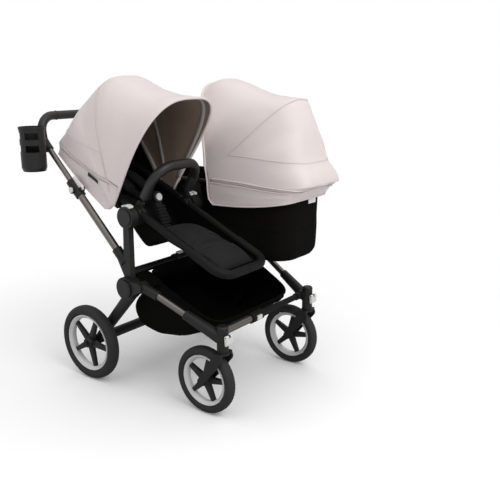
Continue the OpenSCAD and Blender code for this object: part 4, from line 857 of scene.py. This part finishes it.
class PRAM_OT_hood(bpy.types.Operator):
    """Makes the carrycot's hood: one sheet from rear bow to skirt, with brim, seams and zip"""
    bl_idname = "pram.hood"
    bl_label = "Carrycot hood"

    def execute(self, context):
        middle = on_cot(0, -230, 900)
        sign = facing(hood_point, middle)
        place = uneven(hood_point, cloth().wrinkle, sign, (9, 8), 17)
        bm = grid(place, 112, 120, (.9, 1.0))
        outward(bm, middle)
        sheet = put("hood", bm, "canopy_cloth", "pale_cloth",
                    stands_for=("hood_front", "hood_visor"), sharp=80, closed=False)
        extras = []
        edge = along_row(place, 0.0)
        extras.append(put("hood_rim", rod(edge, .005), "canopy_cloth",
                          stands_for=("hood_bow",)))
        steps = shares(20)
        hem = [place(0, w) for w in steps] + along_row(place, 1.0)[1:]
        hem += [place(1, w) for w in reversed(steps)][1:]
        extras.append(put("hood_hem", rod(hem, .0032), "canopy_cloth"))
        seams = [rod(along_row(place, hood_row(HOOD_SPLIT), .085, .915, .0008, sign), .0022, 8),
                 rod(along_row(place, hood_panel, .085, .915, .0006, sign), .0016, 6),
                 rod(along_row(place, hood_row(SKIRT_SEAM), .02, .98, .0004, sign), .001, 6)]
        extras.append(put("hood_seams", join(*seams), "seam_cloth"))
        tape = ribbon(place, hood_brim(BRIM_LINES[1]), .01, .99, .008, .0012, sign, middle)
        extras.append(thicken(put("hood_zip_tape", tape, "zip_tape", closed=False), .0016))
        brim = [rod(along_row(place, hood_brim(k), .01, .99, .0006, sign), .0024, 8) for k in BRIM_LINES[::2]]
        extras.append(put("hood_brim", join(*brim), "canopy_cloth"))
        for e in extras + [sheet]:
            hood_blend(e)
        thicken(sheet, cloth().thickness, inner=1)
        declare_sheet(place)
        return {"FINISHED"}


def rounded(u, half_w, half_l, corner):
    """A point on a rounded rectangle, by its share of the way round."""
    straight_w, straight_l, bend = 2 * (half_w - corner), 2 * (half_l - corner), math.pi / 2 * corner
    parts = (straight_l / 2, bend, straight_w, bend, straight_l, bend, straight_w, bend, straight_l / 2)
    s = (u % 1) * sum(parts)
    turn, x, y = math.pi / 2, half_w, 0.0
    for i, part in enumerate(parts):
        step = min(s, part)
        if i % 2 == 0:
            x, y = x + step * math.cos(turn), y + step * math.sin(turn)
        else:
            a = step / corner
            cx, cy = x - corner * math.sin(turn), y + corner * math.cos(turn)
            x, y = cx + corner * math.sin(turn + a), cy - corner * math.cos(turn + a)
            turn += a
        s -= step
        if s <= 0:
            break
    return x, y


def tub_point(u, w):
    """The carrycot's cloth: down its side, then in to the middle of its floor."""
    side = min(1, w / TUB_SIDE)
    floor = max(0, (w - TUB_SIDE) / (1 - TUB_SIDE))
    inset = curve(*TUB_INSET, side)
    share = 1 - .985 * floor
    x, y = rounded(u, COT_HALF - inset, COT_LENGTH / 2 - inset, COT_CORNER)
    bow = 2.5 * math.sin(math.pi * side) * (1 - floor)
    x, y = x * share * (1 + bow / COT_HALF / 4), y * share
    return on_cot(x, COT_MID + y, COT_RIM - 3 - (COT_DEPTH - 4) * side - 2 * floor)


def mattress_point(u, w, top):
    """The mattress: a rounded plan, crowned on top."""
    x, y = 2 * u - 1, 2 * w - 1
    fx, fy = x * math.sqrt(1 - .22 * y * y), y * math.sqrt(1 - .05 * x * x)
    crown = (1 - abs(x) ** 5) * (1 - abs(y) ** 9)
    base = COT_RIM - COT_DEPTH + 6
    rise = MATTRESS_EDGE + MATTRESS_CROWN * crown if top else 0
    return on_cot(fx * MATTRESS_HALVES[0], COT_MID + fy * MATTRESS_HALVES[1], base + rise)


class PRAM_OT_carrycot(bpy.types.Operator):
    """Makes the carrycot's tub of cloth with its seam and tab"""
    bl_idname = "pram.carrycot"
    bl_label = "Carrycot"

    def execute(self, context):
        middle = on_cot(0, COT_MID, COT_RIM - COT_DEPTH / 2)
        sign = facing(tub_point, middle)
        place = uneven(tub_point, .0018, sign, (26, 5), 5)

        def around(u, w):
            return place(u % 1, w) if 0 < u < 1 else tub_point(0, w)

        bm = grid(around, 160, 44, (2.0, .6), closed=True)
        bmesh.ops.holes_fill(bm, edges=[e for e in bm.edges if e.is_boundary and e.calc_length() < .006])
        outward(bm, middle)
        tub = put("cot_cloth", bm, "black_cloth", "black_cloth", body="chassis",
                  stands_for=("cot_tub",), sharp=70, closed=False)
        line = [lifted(tub_point, .0002, sign)(u, .4) for u in shares(160)]
        cords = put("cot_seams", rod(line, .0012, 6), "black_cloth", body="chassis")
        tab = block((.05, .003, .034), Vector(TAB) * MM, None, .001)
        put("cot_tab", tab, "white_plastic", body="chassis")
        thicken(tub, .003, inner=1)
        declare_sheet(tub_point)
        return {"FINISHED"}


class PRAM_OT_mattress(bpy.types.Operator):
    """Makes the carrycot's mattress"""
    bl_idname = "pram.mattress"
    bl_label = "Mattress"

    def execute(self, context):
        bm = slab(lambda u, w: mattress_point(u, w, False), lambda u, w: mattress_point(u, w, True), 24, 60)
        pad = put("cot_mattress", bm, "pale_cloth", stands_for=("mattress",), sharp=60)
        puff(pad, 5)
        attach(pad, "chassis")
        return {"FINISHED"}


def slab(bottom, top, across, along):
    """A closed pad between two surfaces."""
    bm = bmesh.new()
    bmesh.ops.create_grid(bm, x_segments=across, y_segments=along, size=.5)
    low = list(bm.verts)
    known = set(low)
    spots = [(v.co.x + .5, v.co.y + .5) for v in low]
    made = bmesh.ops.duplicate(bm, geom=bm.verts[:] + bm.edges[:] + bm.faces[:])
    partner = {a: b for a, b in made["vert_map"].items() if a in known}
    for v, (u, w) in zip(low, spots):
        v.co = bottom(u, w)
        partner[v].co = top(u, w)
    bmesh.ops.bridge_loops(bm, edges=[e for e in bm.edges if e.is_boundary])
    bmesh.ops.recalc_face_normals(bm, faces=bm.faces)
    return bm


def puff(obj, most, hold=None):
    """Fills a pad with a short pressure simulation. hold says how firmly a place is sewn down."""
    scene = bpy.context.scene
    remesh = obj.modifiers.new("remesh", "REMESH")
    remesh.mode = "VOXEL"
    remesh.voxel_size = CELL
    bake(obj)
    rest = [v.co.copy() for v in obj.data.vertices]
    sim = obj.modifiers.new("fill", "CLOTH")
    sim.settings.quality = 5
    sim.settings.use_pressure = True
    sim.settings.uniform_pressure_force = PRESSURE
    sim.settings.effector_weights.gravity = 0
    sim.point_cache.frame_start, sim.point_cache.frame_end = 1, FILL_FRAMES
    if hold:
        group = obj.vertex_groups.new(name="sewn")
        for v in obj.data.vertices:
            group.add([v.index], min(1, max(0, hold(v.co))), "REPLACE")
        sim.settings.vertex_group_mass = "sewn"
    for f in range(1, FILL_FRAMES + 1):
        scene.frame_set(f)
    bake(obj)
    for v, was in zip(obj.data.vertices, rest):
        move = v.co - was
        if move.length > most * MM:
            v.co = was + move.normalized() * (most * MM)
    obj.vertex_groups.clear()
    scene.frame_set(1)
    soft = obj.modifiers.new("soft", "SMOOTH")
    soft.factor, soft.iterations = .5, 3
    bake(obj)
    round_it = obj.modifiers.new("round", "SUBSURF")
    round_it.levels = round_it.render_levels = 1
    bake(obj)
    obj.data.shade_smooth()


def bake(obj):
    """Applies a piece's modifiers to its mesh."""
    graph = bpy.context.evaluated_depsgraph_get()
    graph.update()
    mesh = bpy.data.meshes.new_from_object(obj.evaluated_get(graph), depsgraph=graph)
    was = obj.data
    obj.modifiers.clear()
    obj.data = mesh
    mesh.name = was.name
    if not mesh.materials:
        for m in was.materials:
            mesh.materials.append(m)
    bpy.data.meshes.remove(was)


def path_point(points, share, lift=0.0):
    """A point along a path of the seat's frame, at a height over it."""
    keys = [0]
    for a, b in zip(points, points[1:]):
        keys.append(keys[-1] + math.hypot(b[0] - a[0], b[1] - a[1]))
    ys, zs = [p[0] for p in points], [p[1] for p in points]

    def at(s):
        s = min(1, max(0, s)) * keys[-1]
        return Vector((curve(keys, ys, s), curve(keys, zs, s)))

    d = (at(share + .02) - at(share - .02)).normalized()
    return at(share) + Vector((-d.y, d.x)) * lift


def sling_point(u, w):
    """The hammock: from one rail down, across and up to the other, along the seat."""
    p = path_point(HAMMOCK, w)
    depth = RAIL_RISE - p.y
    wide = 2 * depth + 2 * SLING_HALF
    s = abs(2 * u - 1) * wide / 2
    side = 1 if u > .5 else -1
    bend = min(26, .45 * depth)
    if s < SLING_HALF - bend:
        x, z = s, 0.0
    elif s < SLING_HALF - bend + math.pi / 2 * bend:
        a = (s - SLING_HALF + bend) / bend
        x, z = SLING_HALF - bend + bend * math.sin(a), bend - bend * math.cos(a)
    else:
        x, z = SLING_HALF, min(depth, bend + s - (SLING_HALF - bend + math.pi / 2 * bend))
    sag = 3 * (1 - (x / SLING_HALF) ** 2)
    return on_seat(side * x, p.x, p.y + 2 + z - sag)


class PRAM_OT_sling(bpy.types.Operator):
    """Makes the seat's hammock of cloth with its bindings"""
    bl_idname = "pram.sling"
    bl_label = "Seat hammock"

    def execute(self, context):
        middle = on_seat(0, -80, 200)
        sign = facing(sling_point, middle)
        place = uneven(sling_point, .0015, sign, (12, 14), 8)
        bm = grid(place, 80, 100, (.5, 1.1))
        outward(bm, middle)
        sling = put("seat_sling", bm, "black_cloth", stands_for=("seat_shell",), sharp=70,
                    closed=False)
        rolls = [rod([sling_point(u, w) for w in shares(80)], .0042, 8) for u in (0, 1)]
        rolls += [rod([sling_point(u, w) for u in shares(60)], .0038, 8) for w in (0, 1)]
        binding = put("seat_binding", join(*rolls), "black_cloth", body="seat")
        thicken(sling, .003, offset=0)
        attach(sling, "seat")
        declare_sheet(sling_point)
        return {"FINISHED"}


def pad_surface(points, crown, channels, top):
    """One face of a pad laid along a path, sewn down at its channels."""
    def place(u, w):
        v = 2 * u - 1
        ends = 1 - abs(2 * w - 1) ** 6
        sewn = max([0] + [1 - abs(w - c) / .035 for c in channels])
        rise = 5 + crown * max(0, ends) * (1 - v ** 4) * (1 - .45 * max(0, sewn)) if top else 0
        wide = PAD_HALF - PAD_CORNER * abs(2 * w - 1) ** 8
        p = path_point(points, w, rise)
        return on_seat(wide * v, p.x, p.y)
    return place


class PRAM_OT_pads(bpy.types.Operator):
    """Makes the padding of seat and back, with sewn channels"""
    bl_idname = "pram.pads"
    bl_label = "Seat pads"

    def execute(self, context):
        for name, node, points, crown, channels in (
                ("seat_cushion", "seat_pad", SEAT_PAD, 16, (.4,)),
                ("back_cushion", "back_pad", BACK_PAD, 15, (.45,))):
            bottom = pad_surface(points, crown, channels, False)
            top = pad_surface(points, crown, channels, True)
            pad = put(name, slab(bottom, top, 40, 90), "pad_cloth", stands_for=(node,),
                      sharp=60)
            lines = [along_row(top, c, .02, .98, 0, 1, 40) for c in channels]

            def sewn(p):
                return max(0, 1 - min((p - q).length for line in lines for q in line[::4]) / .02)

            puff(pad, 6, sewn)
            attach(pad, "seat")
            edge = [top(0, w) for w in shares(60)] + [top(u, 1) for u in shares(30)[1:]]
            edge += [top(1, 1 - w) for w in shares(60)[1:]] + [top(1 - u, 0) for u in shares(30)[1:]]
            put(name + "_piping", rod(edge, .0024, 8), "black_cloth", body="seat")
        return {"FINISHED"}


class PRAM_OT_harness(bpy.types.Operator):
    """Makes the harness: webbing, the ribbed crotch pad and the shoulder pads"""
    bl_idname = "pram.harness"
    bl_label = "Harness"

    def execute(self, context):
        crotch = seat_path(CROTCH)
        parts = [strap(crotch, .030, .003)]
        for s in (-1, 1):
            parts += [strap(seat_path(SHOULDER, s), .030, .003), strap(seat_path(WAIST, s), .022, .003)]
        put("harness_webbing", join(*parts), "webbing", body="seat", stands_for=("harness",))
        ribs = []
        n = len(crotch) - 1
        for i in range(4, n - 5, 4):
            t = (crotch[i + 1] - crotch[i - 1]).normalized()
            turn = t.to_track_quat("Y", "Z").to_matrix()
            ribs.append(block((.044, .0085, .014), crotch[i], turn, .0035, 3))
        pad = put("crotch_pad", join(*ribs), "pad_cloth", body="seat")
        for s, side in ((-1, "right"), (1, "left")):
            bm = strap(seat_path(SHOULDER_PAD, s, 24), .05, .016, 24, 3)
            piece = put("shoulder_pad_" + side, bm, "pad_cloth", body="seat")
        return {"FINISHED"}


def basket_point(u, w):
    """The basket: rings from its sloping rim down to its sagging floor."""
    n = len(BASKET_BACK) - 1
    side = min(1, w / BASKET_SIDE) * n
    floor = max(0, (w - BASKET_SIDE) / (1 - BASKET_SIDE))
    keys = list(range(n + 1))

    def at(table, k):
        return curve(keys, [p[k] for p in table], side)

    t = 2 * math.pi * u
    cx, cy = signed(math.cos(t), 2 / BASKET_POWER), signed(math.sin(t), 2 / BASKET_POWER)
    share = (1 + cy) / 2
    half = (BASKET_HALVES[0] + (BASKET_HALVES[1] - BASKET_HALVES[0]) * share) * curve(keys, BASKET_DRAW, side)
    y = at(BASKET_FRONT, 0) + (at(BASKET_BACK, 0) - at(BASKET_FRONT, 0)) * share
    z = at(BASKET_FRONT, 1) + (at(BASKET_BACK, 1) - at(BASKET_FRONT, 1)) * share
    x = half * cx
    y_mid, z_mid = BASKET_FLOOR
    keep = 1 - .97 * floor
    return Vector((x * keep, y_mid + (y - y_mid) * keep, z_mid + (z - z_mid) * keep)) * MM


class PRAM_OT_basket(bpy.types.Operator):
    """Makes the basket of cloth with its binding, seams and wings"""
    bl_idname = "pram.basket"
    bl_label = "Basket"

    def execute(self, context):
        middle = Vector((0, -.1, .36))
        sign = facing(basket_point, middle)

        def place(u, w):
            e = noise.noise(Vector((6 * math.cos(2 * math.pi * u), 6 * math.sin(2 * math.pi * u), 5 * w)))
            out = (basket_point(u, w) - middle).normalized()
            return basket_point(u, w) + out * (.003 * e * min(1, 8 * w) - .001)

        bm = grid(place, 150, 46, (1.6, .6), closed=True)
        low = [e for e in bm.edges if e.is_boundary and e.calc_length() < .012 and e.verts[0].co.z < .25]
        bmesh.ops.holes_fill(bm, edges=low)
        outward(bm, middle)
        bag = put("basket_cloth", bm, "black_cloth", stands_for=("basket",), sharp=70,
                  closed=False)
        parts = [rod([basket_point(u, 0) for u in shares(150)], .005, 8)]
        for u in (.08, .42, .58, .92):
            seam = [place(u, .02 + .76 * w) + (place(u, w) - middle).normalized() * .001 for w in shares(30)]
            parts.append(rod(seam, .0014, 6))
        binding = put("basket_binding", join(*parts), "black_cloth")
        for piece in (bag, binding):
            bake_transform(piece)
        sides = []
        for s in (-1, 1):
            a, b, c, d = (Vector((s * x, y, z)) * MM for x, y, z in WING)

            def wing(u, w):
                return a.lerp(b, u).lerp(d.lerp(c, u), w) + Vector((0, -.006, 0)) * math.sin(math.pi * w)

            sides.append(grid(wing, 10, 10, (.08, .08)))
        wings = thicken(put("basket_wings", join(*sides), "black_cloth", body="chassis",
                            closed=False), .0025, offset=0)
        thicken(bag, .0025)
        declare_sheet(basket_point)
        return {"FINISHED"}


def tyre(at, d, high, wide):
    """A tyre with two grooves, and with blocks along its shoulders."""
    profile = []
    for i in range(37):
        t = math.radians(-160 + 320 * i / 36)
        r = d / 2 - high / 2 + high / 2 * signed(math.cos(t), .8)
        x = wide / 2 * signed(math.sin(t), .8)
        if GROOVE[0] * wide < abs(x) < GROOVE[1] * wide and math.cos(t) > 0:
            r -= GROOVE_DEEP
        profile.append((max(r, d / 2 - high) * MM, x * MM))
    bm = lathe(profile + profile[:1], at, TREADS)
    for v in bm.verts:
        p = v.co - at
        r = math.hypot(p.y, p.z)
        step = int(round(math.degrees(math.atan2(p.z, p.y)) / (360 / TREADS)))
        if r > (d / 2 - BLOCK_BAND) * MM and abs(p.x) > BLOCK_FROM * wide * MM and step % 3 == 0:
            keep = 1 - BLOCK_DEEP * MM / r
            v.co = at + Vector((p.x, p.y * keep, p.z * keep))
    return bm


def rim(at, big, half):
    """A rim with a lip and a groove on both sides."""
    low = big - RIM_H
    face = [(big, half), (big - 1.5, half + 1.6), (big - 4, half + 1.6), (big - 5.5, half),
            (low + 1, half - 5), (low - 1.5, half - 9), (low - 1.5, half - 12)]
    section = face + [(r, -x) for r, x in reversed(face)] + face[:1]
    return lathe([(r * MM, x * MM) for r, x in section], at, 96)


def star(at, reach, start):
    """A hub and its spokes, which are wider at the hub."""
    left = [(r * MM, x * MM) for r, x in HUB_SIDE]
    right = [(r, -x) for r, x in left]
    parts = [lathe(right + left[::-1] + right[:1], at, 48)]
    long = (reach + 1 - SPOKE_FROM) * MM
    for i in range(SPOKES):
        bm = block((SPOKE[0] * MM, long, SPOKE[1] * MM), (0, 0, 0), None, 0)
        bmesh.ops.scale(bm, vec=SPOKE_FLARE, verts=[v for v in bm.verts if v.co.y < 0])
        soften(bm, .0028, 3)
        bmesh.ops.translate(bm, vec=(0, SPOKE_FROM * MM + long / 2, 0), verts=bm.verts)
        turn = Matrix.Rotation(2 * math.pi * i / SPOKES + start, 4, "X")
        bmesh.ops.transform(bm, matrix=Matrix.Translation(at) @ turn, verts=bm.verts)
        parts.append(bm)
    return join(*parts)


class PRAM_OT_wheels(bpy.types.Operator):
    """Makes the wheels: tread, rims and spoked hubs"""
    bl_idname = "pram.wheels"
    bl_label = "Wheels"

    def execute(self, context):
        for name, at, d, high, wide, body in WHEELS:
            at = Vector(at) * MM
            end, side = name.split("_")
            big = d / 2 - high - RIM_GAP
            put("tyre_" + name, tyre(at, d, high, wide), "rubber", body=body,
                stands_for=(f"{end}_tyre_{side}",), sharp=50)
            put("rim_" + name, rim(at, big, RIM_SHARE * wide), "cream", body=body,
                stands_for=(f"{end}_wheel_{side}",), sharp=32)
            put("star_" + name, star(at, big - RIM_H, SPOKE_TURN[end]), "plastic", body=body, sharp=40)
        return {"FINISHED"}


def ring(at, axis, radius):
    """A thin band round a bar."""
    a, b, low, high = BAND_W / 2, BAND_W / 2 - BAND_H, radius - .001, radius + BAND_H
    profile = [(low, -a), (radius, -a), (high, -b), (high, b), (radius, a), (low, a), (low, -a)]
    return lathe(profile, Vector(at) * MM, 40, axis)


def leg_section(u, i):
    """The rear leg's flat oval, which narrows to the wheel."""
    t = 2 * math.pi * u
    return (.0245 - .0055 * i / LEG_STEPS) * signed(math.cos(t), .75), .0156 * signed(math.sin(t), .75)


def beam_radius(w):
    """The beam's sleeve, which starts narrow beside the pedal."""
    return .0155 if w < .1 else .0205


class PRAM_OT_trim(bpy.types.Operator):
    """Makes the small trim: caps, sleeves, leg covers and joint lines of the frame"""
    bl_idname = "pram.trim"
    bl_label = "Trim"

    def execute(self, context):
        caps, pins = [], []
        for s in (-1, 1):
            drum = [(0, .0004), (.0285, .0004), (.03, -.0008), (.031, -.0008), (.031, -.002), (0, -.002)]
            caps.append(lathe([(r, s * x) for r, x in drum], Vector((s * DRUM_OUT, *JOINT)) * MM, 56))
            disc = [(0, .0012), (.029, .0012), (.0305, -.0002), (.0305, -.002), (0, -.002)]
            pins.append(lathe([(r, s * x) for r, x in disc], Vector((s * HUB_OUT, *HUB)) * MM, 56))
        put("drum_caps", join(*caps), "plastic", body="chassis", sharp=30)
        put("hub_caps", join(*pins), "plastic", body="chassis", sharp=30)
        sleeve = lathe([(.0154, -.076), (.0154, .076), (.014, .076), (.014, -.076), (.0154, -.076)],
                       Vector((-170, *FRONT_BAR)) * MM, 40)
        put("front_sleeve", sleeve, "anodised", body="front_frame", sharp=40)
        bands = [ring((x, *GRIP_BAR), ACROSS, .0178) for x in (-262, 262)]
        put("grip_bands", join(*bands), "leather", body="handle", sharp=30)
        c, s = math.cos(BUMPER_LEAN), math.sin(BUMPER_LEAN)
        axis = on_seat(0, -s, c) - on_seat(0, 0, 0)
        y, z = -BUMPER_BEND * s, BUMPER_LOW + BUMPER_BEND * c
        bands = [ring(on_seat(x, y, z) / MM, axis, .0181) for x in (-BUMPER_HALF, BUMPER_HALF)]
        put("bumper_bands", join(*bands), "leather", body="bumper", sharp=30)
        bands = [ring(on_seat(x, *FOOT_BAR) / MM, ACROSS, .0161) for x in (2, 7)]
        put("foot_bands", join(*bands), "dull_black", body="seat", sharp=30)
        legs, sleeves = [], []
        for s in (-1, 1):
            top, foot = (Vector((s * LEG_X, *p)) * MM for p in (HUB, LEG_FOOT))
            way = (foot - top).normalized()
            line = [top + way * (LEG_RUN[0] + LEG_RUN[1] * w) for w in shares(LEG_STEPS)]
            legs.append(sweep(line, leg_section, 28, ACROSS.cross(way)))
            sleeves.append(rod([Vector((s * x, *BEAM)) * MM for x in (40, 42, 150, 283)], beam_radius, 32))
        put("leg_covers", join(*legs), "casting", body="rear_frame", sharp=40)
        put("beam_sleeves", join(*sleeves), "casting", body="rear_frame", sharp=40)
        return {"FINISHED"}


def floor_material(stage):
    """White in the distance, and a floor that takes shadow round the pram."""
    m = bpy.data.materials.new("floor")
    m.use_nodes = True
    t = m.node_tree
    seen = node(t, "LightPath").outputs["Is Camera Ray"]
    shade, plain = [BOUNCE * c for c in stage.floor] + [1], (*stage.floor, 1)
    tone = node(t, "Mix", {0: seen, MIX_A: shade, MIX_B: plain}, data_type="RGBA")
    shader = t.nodes["Principled BSDF"]
    feed(t, shader, {"Base Color": tone.outputs[MIX_RESULT], "Roughness": .9, "Specular IOR Level": .1,
                     "Emission Color": (1, 1, 1, 1), "Emission Strength": stage.glow})
    far = node(t, "VectorMath", {0: node(t, "TexCoord").outputs["Object"]}, operation="LENGTH")
    span = node(t, "MapRange", {"Value": far.outputs["Value"], "From Min": FLOOR_FADE[0],
                                "From Max": FLOOR_FADE[1]}, interpolation_type="SMOOTHSTEP")
    glow = node(t, "Emission")
    mix = node(t, "MixShader", {0: span.outputs[0], 1: shader.outputs[0], 2: glow.outputs[0]})
    feed(t, t.nodes["Material Output"], {0: mix.outputs[0]})
    return m


def set_sky(scene, strength):
    """White to the camera; as light, it falls off from the top to the horizon."""
    world = bpy.data.worlds.new("sky")
    scene.world = world
    world.use_nodes = True
    t = world.node_tree
    way = node(t, "SeparateXYZ", {0: node(t, "TexCoord").outputs["Generated"]})
    dome = node(t, "MapRange", {"Value": way.outputs["Z"], "To Min": HORIZON * strength,
                                "To Max": strength})
    seen = node(t, "LightPath").outputs["Is Camera Ray"]
    level = node(t, "Mix", {0: seen, 2: dome.outputs[0], "B": 1})
    feed(t, t.nodes["Background"], {0: (1, 1, 1, 1), "Strength": level.outputs[0]})


def set_camera(scene):
    """The photo's own view."""
    lens = bpy.data.cameras.new("camera")
    lens.sensor_width, lens.lens = 36, LENS
    lens.clip_end = 60
    camera = bpy.data.objects.new("camera", lens)
    scene.collection.objects.link(camera)
    camera.location = CAMERA_AT
    level = math.cos(CAMERA_PITCH)
    away = Vector((math.sin(CAMERA_YAW) * level, -math.cos(CAMERA_YAW) * level, math.sin(CAMERA_PITCH)))
    camera.rotation_euler = (-away).to_track_quat("-Z", "Y").to_euler()
    scene.camera = camera


class PRAM_OT_stage(bpy.types.Operator):
    """Sets the floor, the light and the camera"""
    bl_idname = "pram.stage"
    bl_label = "Stage"

    def execute(self, context):
        scene = context.scene
        stage = scene.pram_stage
        bm = bmesh.new()
        bmesh.ops.create_grid(bm, x_segments=1, y_segments=1, size=30)
        floor = put("floor", bm, closed=False)
        floor.data.materials.append(floor_material(stage))
        for name, at, size, share in LAMPS:
            lamp = bpy.data.lights.new(name, "AREA")
            lamp.energy, lamp.size = share * stage.light, size
            o = bpy.data.objects.new(name, lamp)
            scene.collection.objects.link(o)
            o.location = at
            o.rotation_euler = (Vector(LAMP_AIM) - Vector(at)).to_track_quat("-Z", "Y").to_euler()
        set_sky(scene, stage.sky)
        set_camera(scene)
        scene.view_settings.view_transform = "Standard"
        return {"FINISHED"}


class PRAM_PT_panel(bpy.types.Panel):
    """Lists the pram's pieces"""
    bl_idname = "PRAM_PT_panel"
    bl_label = "Twin pram"
    bl_space_type = "VIEW_3D"
    bl_region_type = "UI"
    bl_category = "Pram"

    def draw(self, context):
        for group in (context.scene.pram_cloth, context.scene.pram_finish, context.scene.pram_stage):
            for name in group.__annotations__:
                self.layout.prop(group, name)
        for operator in OPERATORS:
            self.layout.operator(operator.bl_idname)


OPERATORS = (PRAM_OT_finishes, PRAM_OT_canopy, PRAM_OT_hood, PRAM_OT_carrycot, PRAM_OT_mattress,
             PRAM_OT_sling, PRAM_OT_pads, PRAM_OT_harness, PRAM_OT_basket, PRAM_OT_wheels, PRAM_OT_trim,
             PRAM_OT_stage)
CLASSES = (PramCloth, PramFinish, PramStage) + OPERATORS + (PRAM_PT_panel,)


def register():
    for c in CLASSES:
        bpy.utils.register_class(c)
    bpy.types.Scene.pram_cloth = PointerProperty(type=PramCloth)
    bpy.types.Scene.pram_finish = PointerProperty(type=PramFinish)
    bpy.types.Scene.pram_stage = PointerProperty(type=PramStage)


def unregister():
    del bpy.types.Scene.pram_cloth, bpy.types.Scene.pram_finish, bpy.types.Scene.pram_stage
    for c in reversed(CLASSES):
        bpy.utils.unregister_class(c)


def main():
    register()
    bpy.ops.pram.finishes()
    bpy.ops.pram.canopy()
    bpy.ops.pram.hood()
    bpy.ops.pram.carrycot()
    bpy.ops.pram.mattress()
    bpy.ops.pram.sling()
    bpy.ops.pram.pads()
    bpy.ops.pram.harness()
    bpy.ops.pram.basket()
    bpy.ops.pram.wheels()
    bpy.ops.pram.trim()
    bpy.ops.pram.stage()


if __name__ == "__main__":
    main()
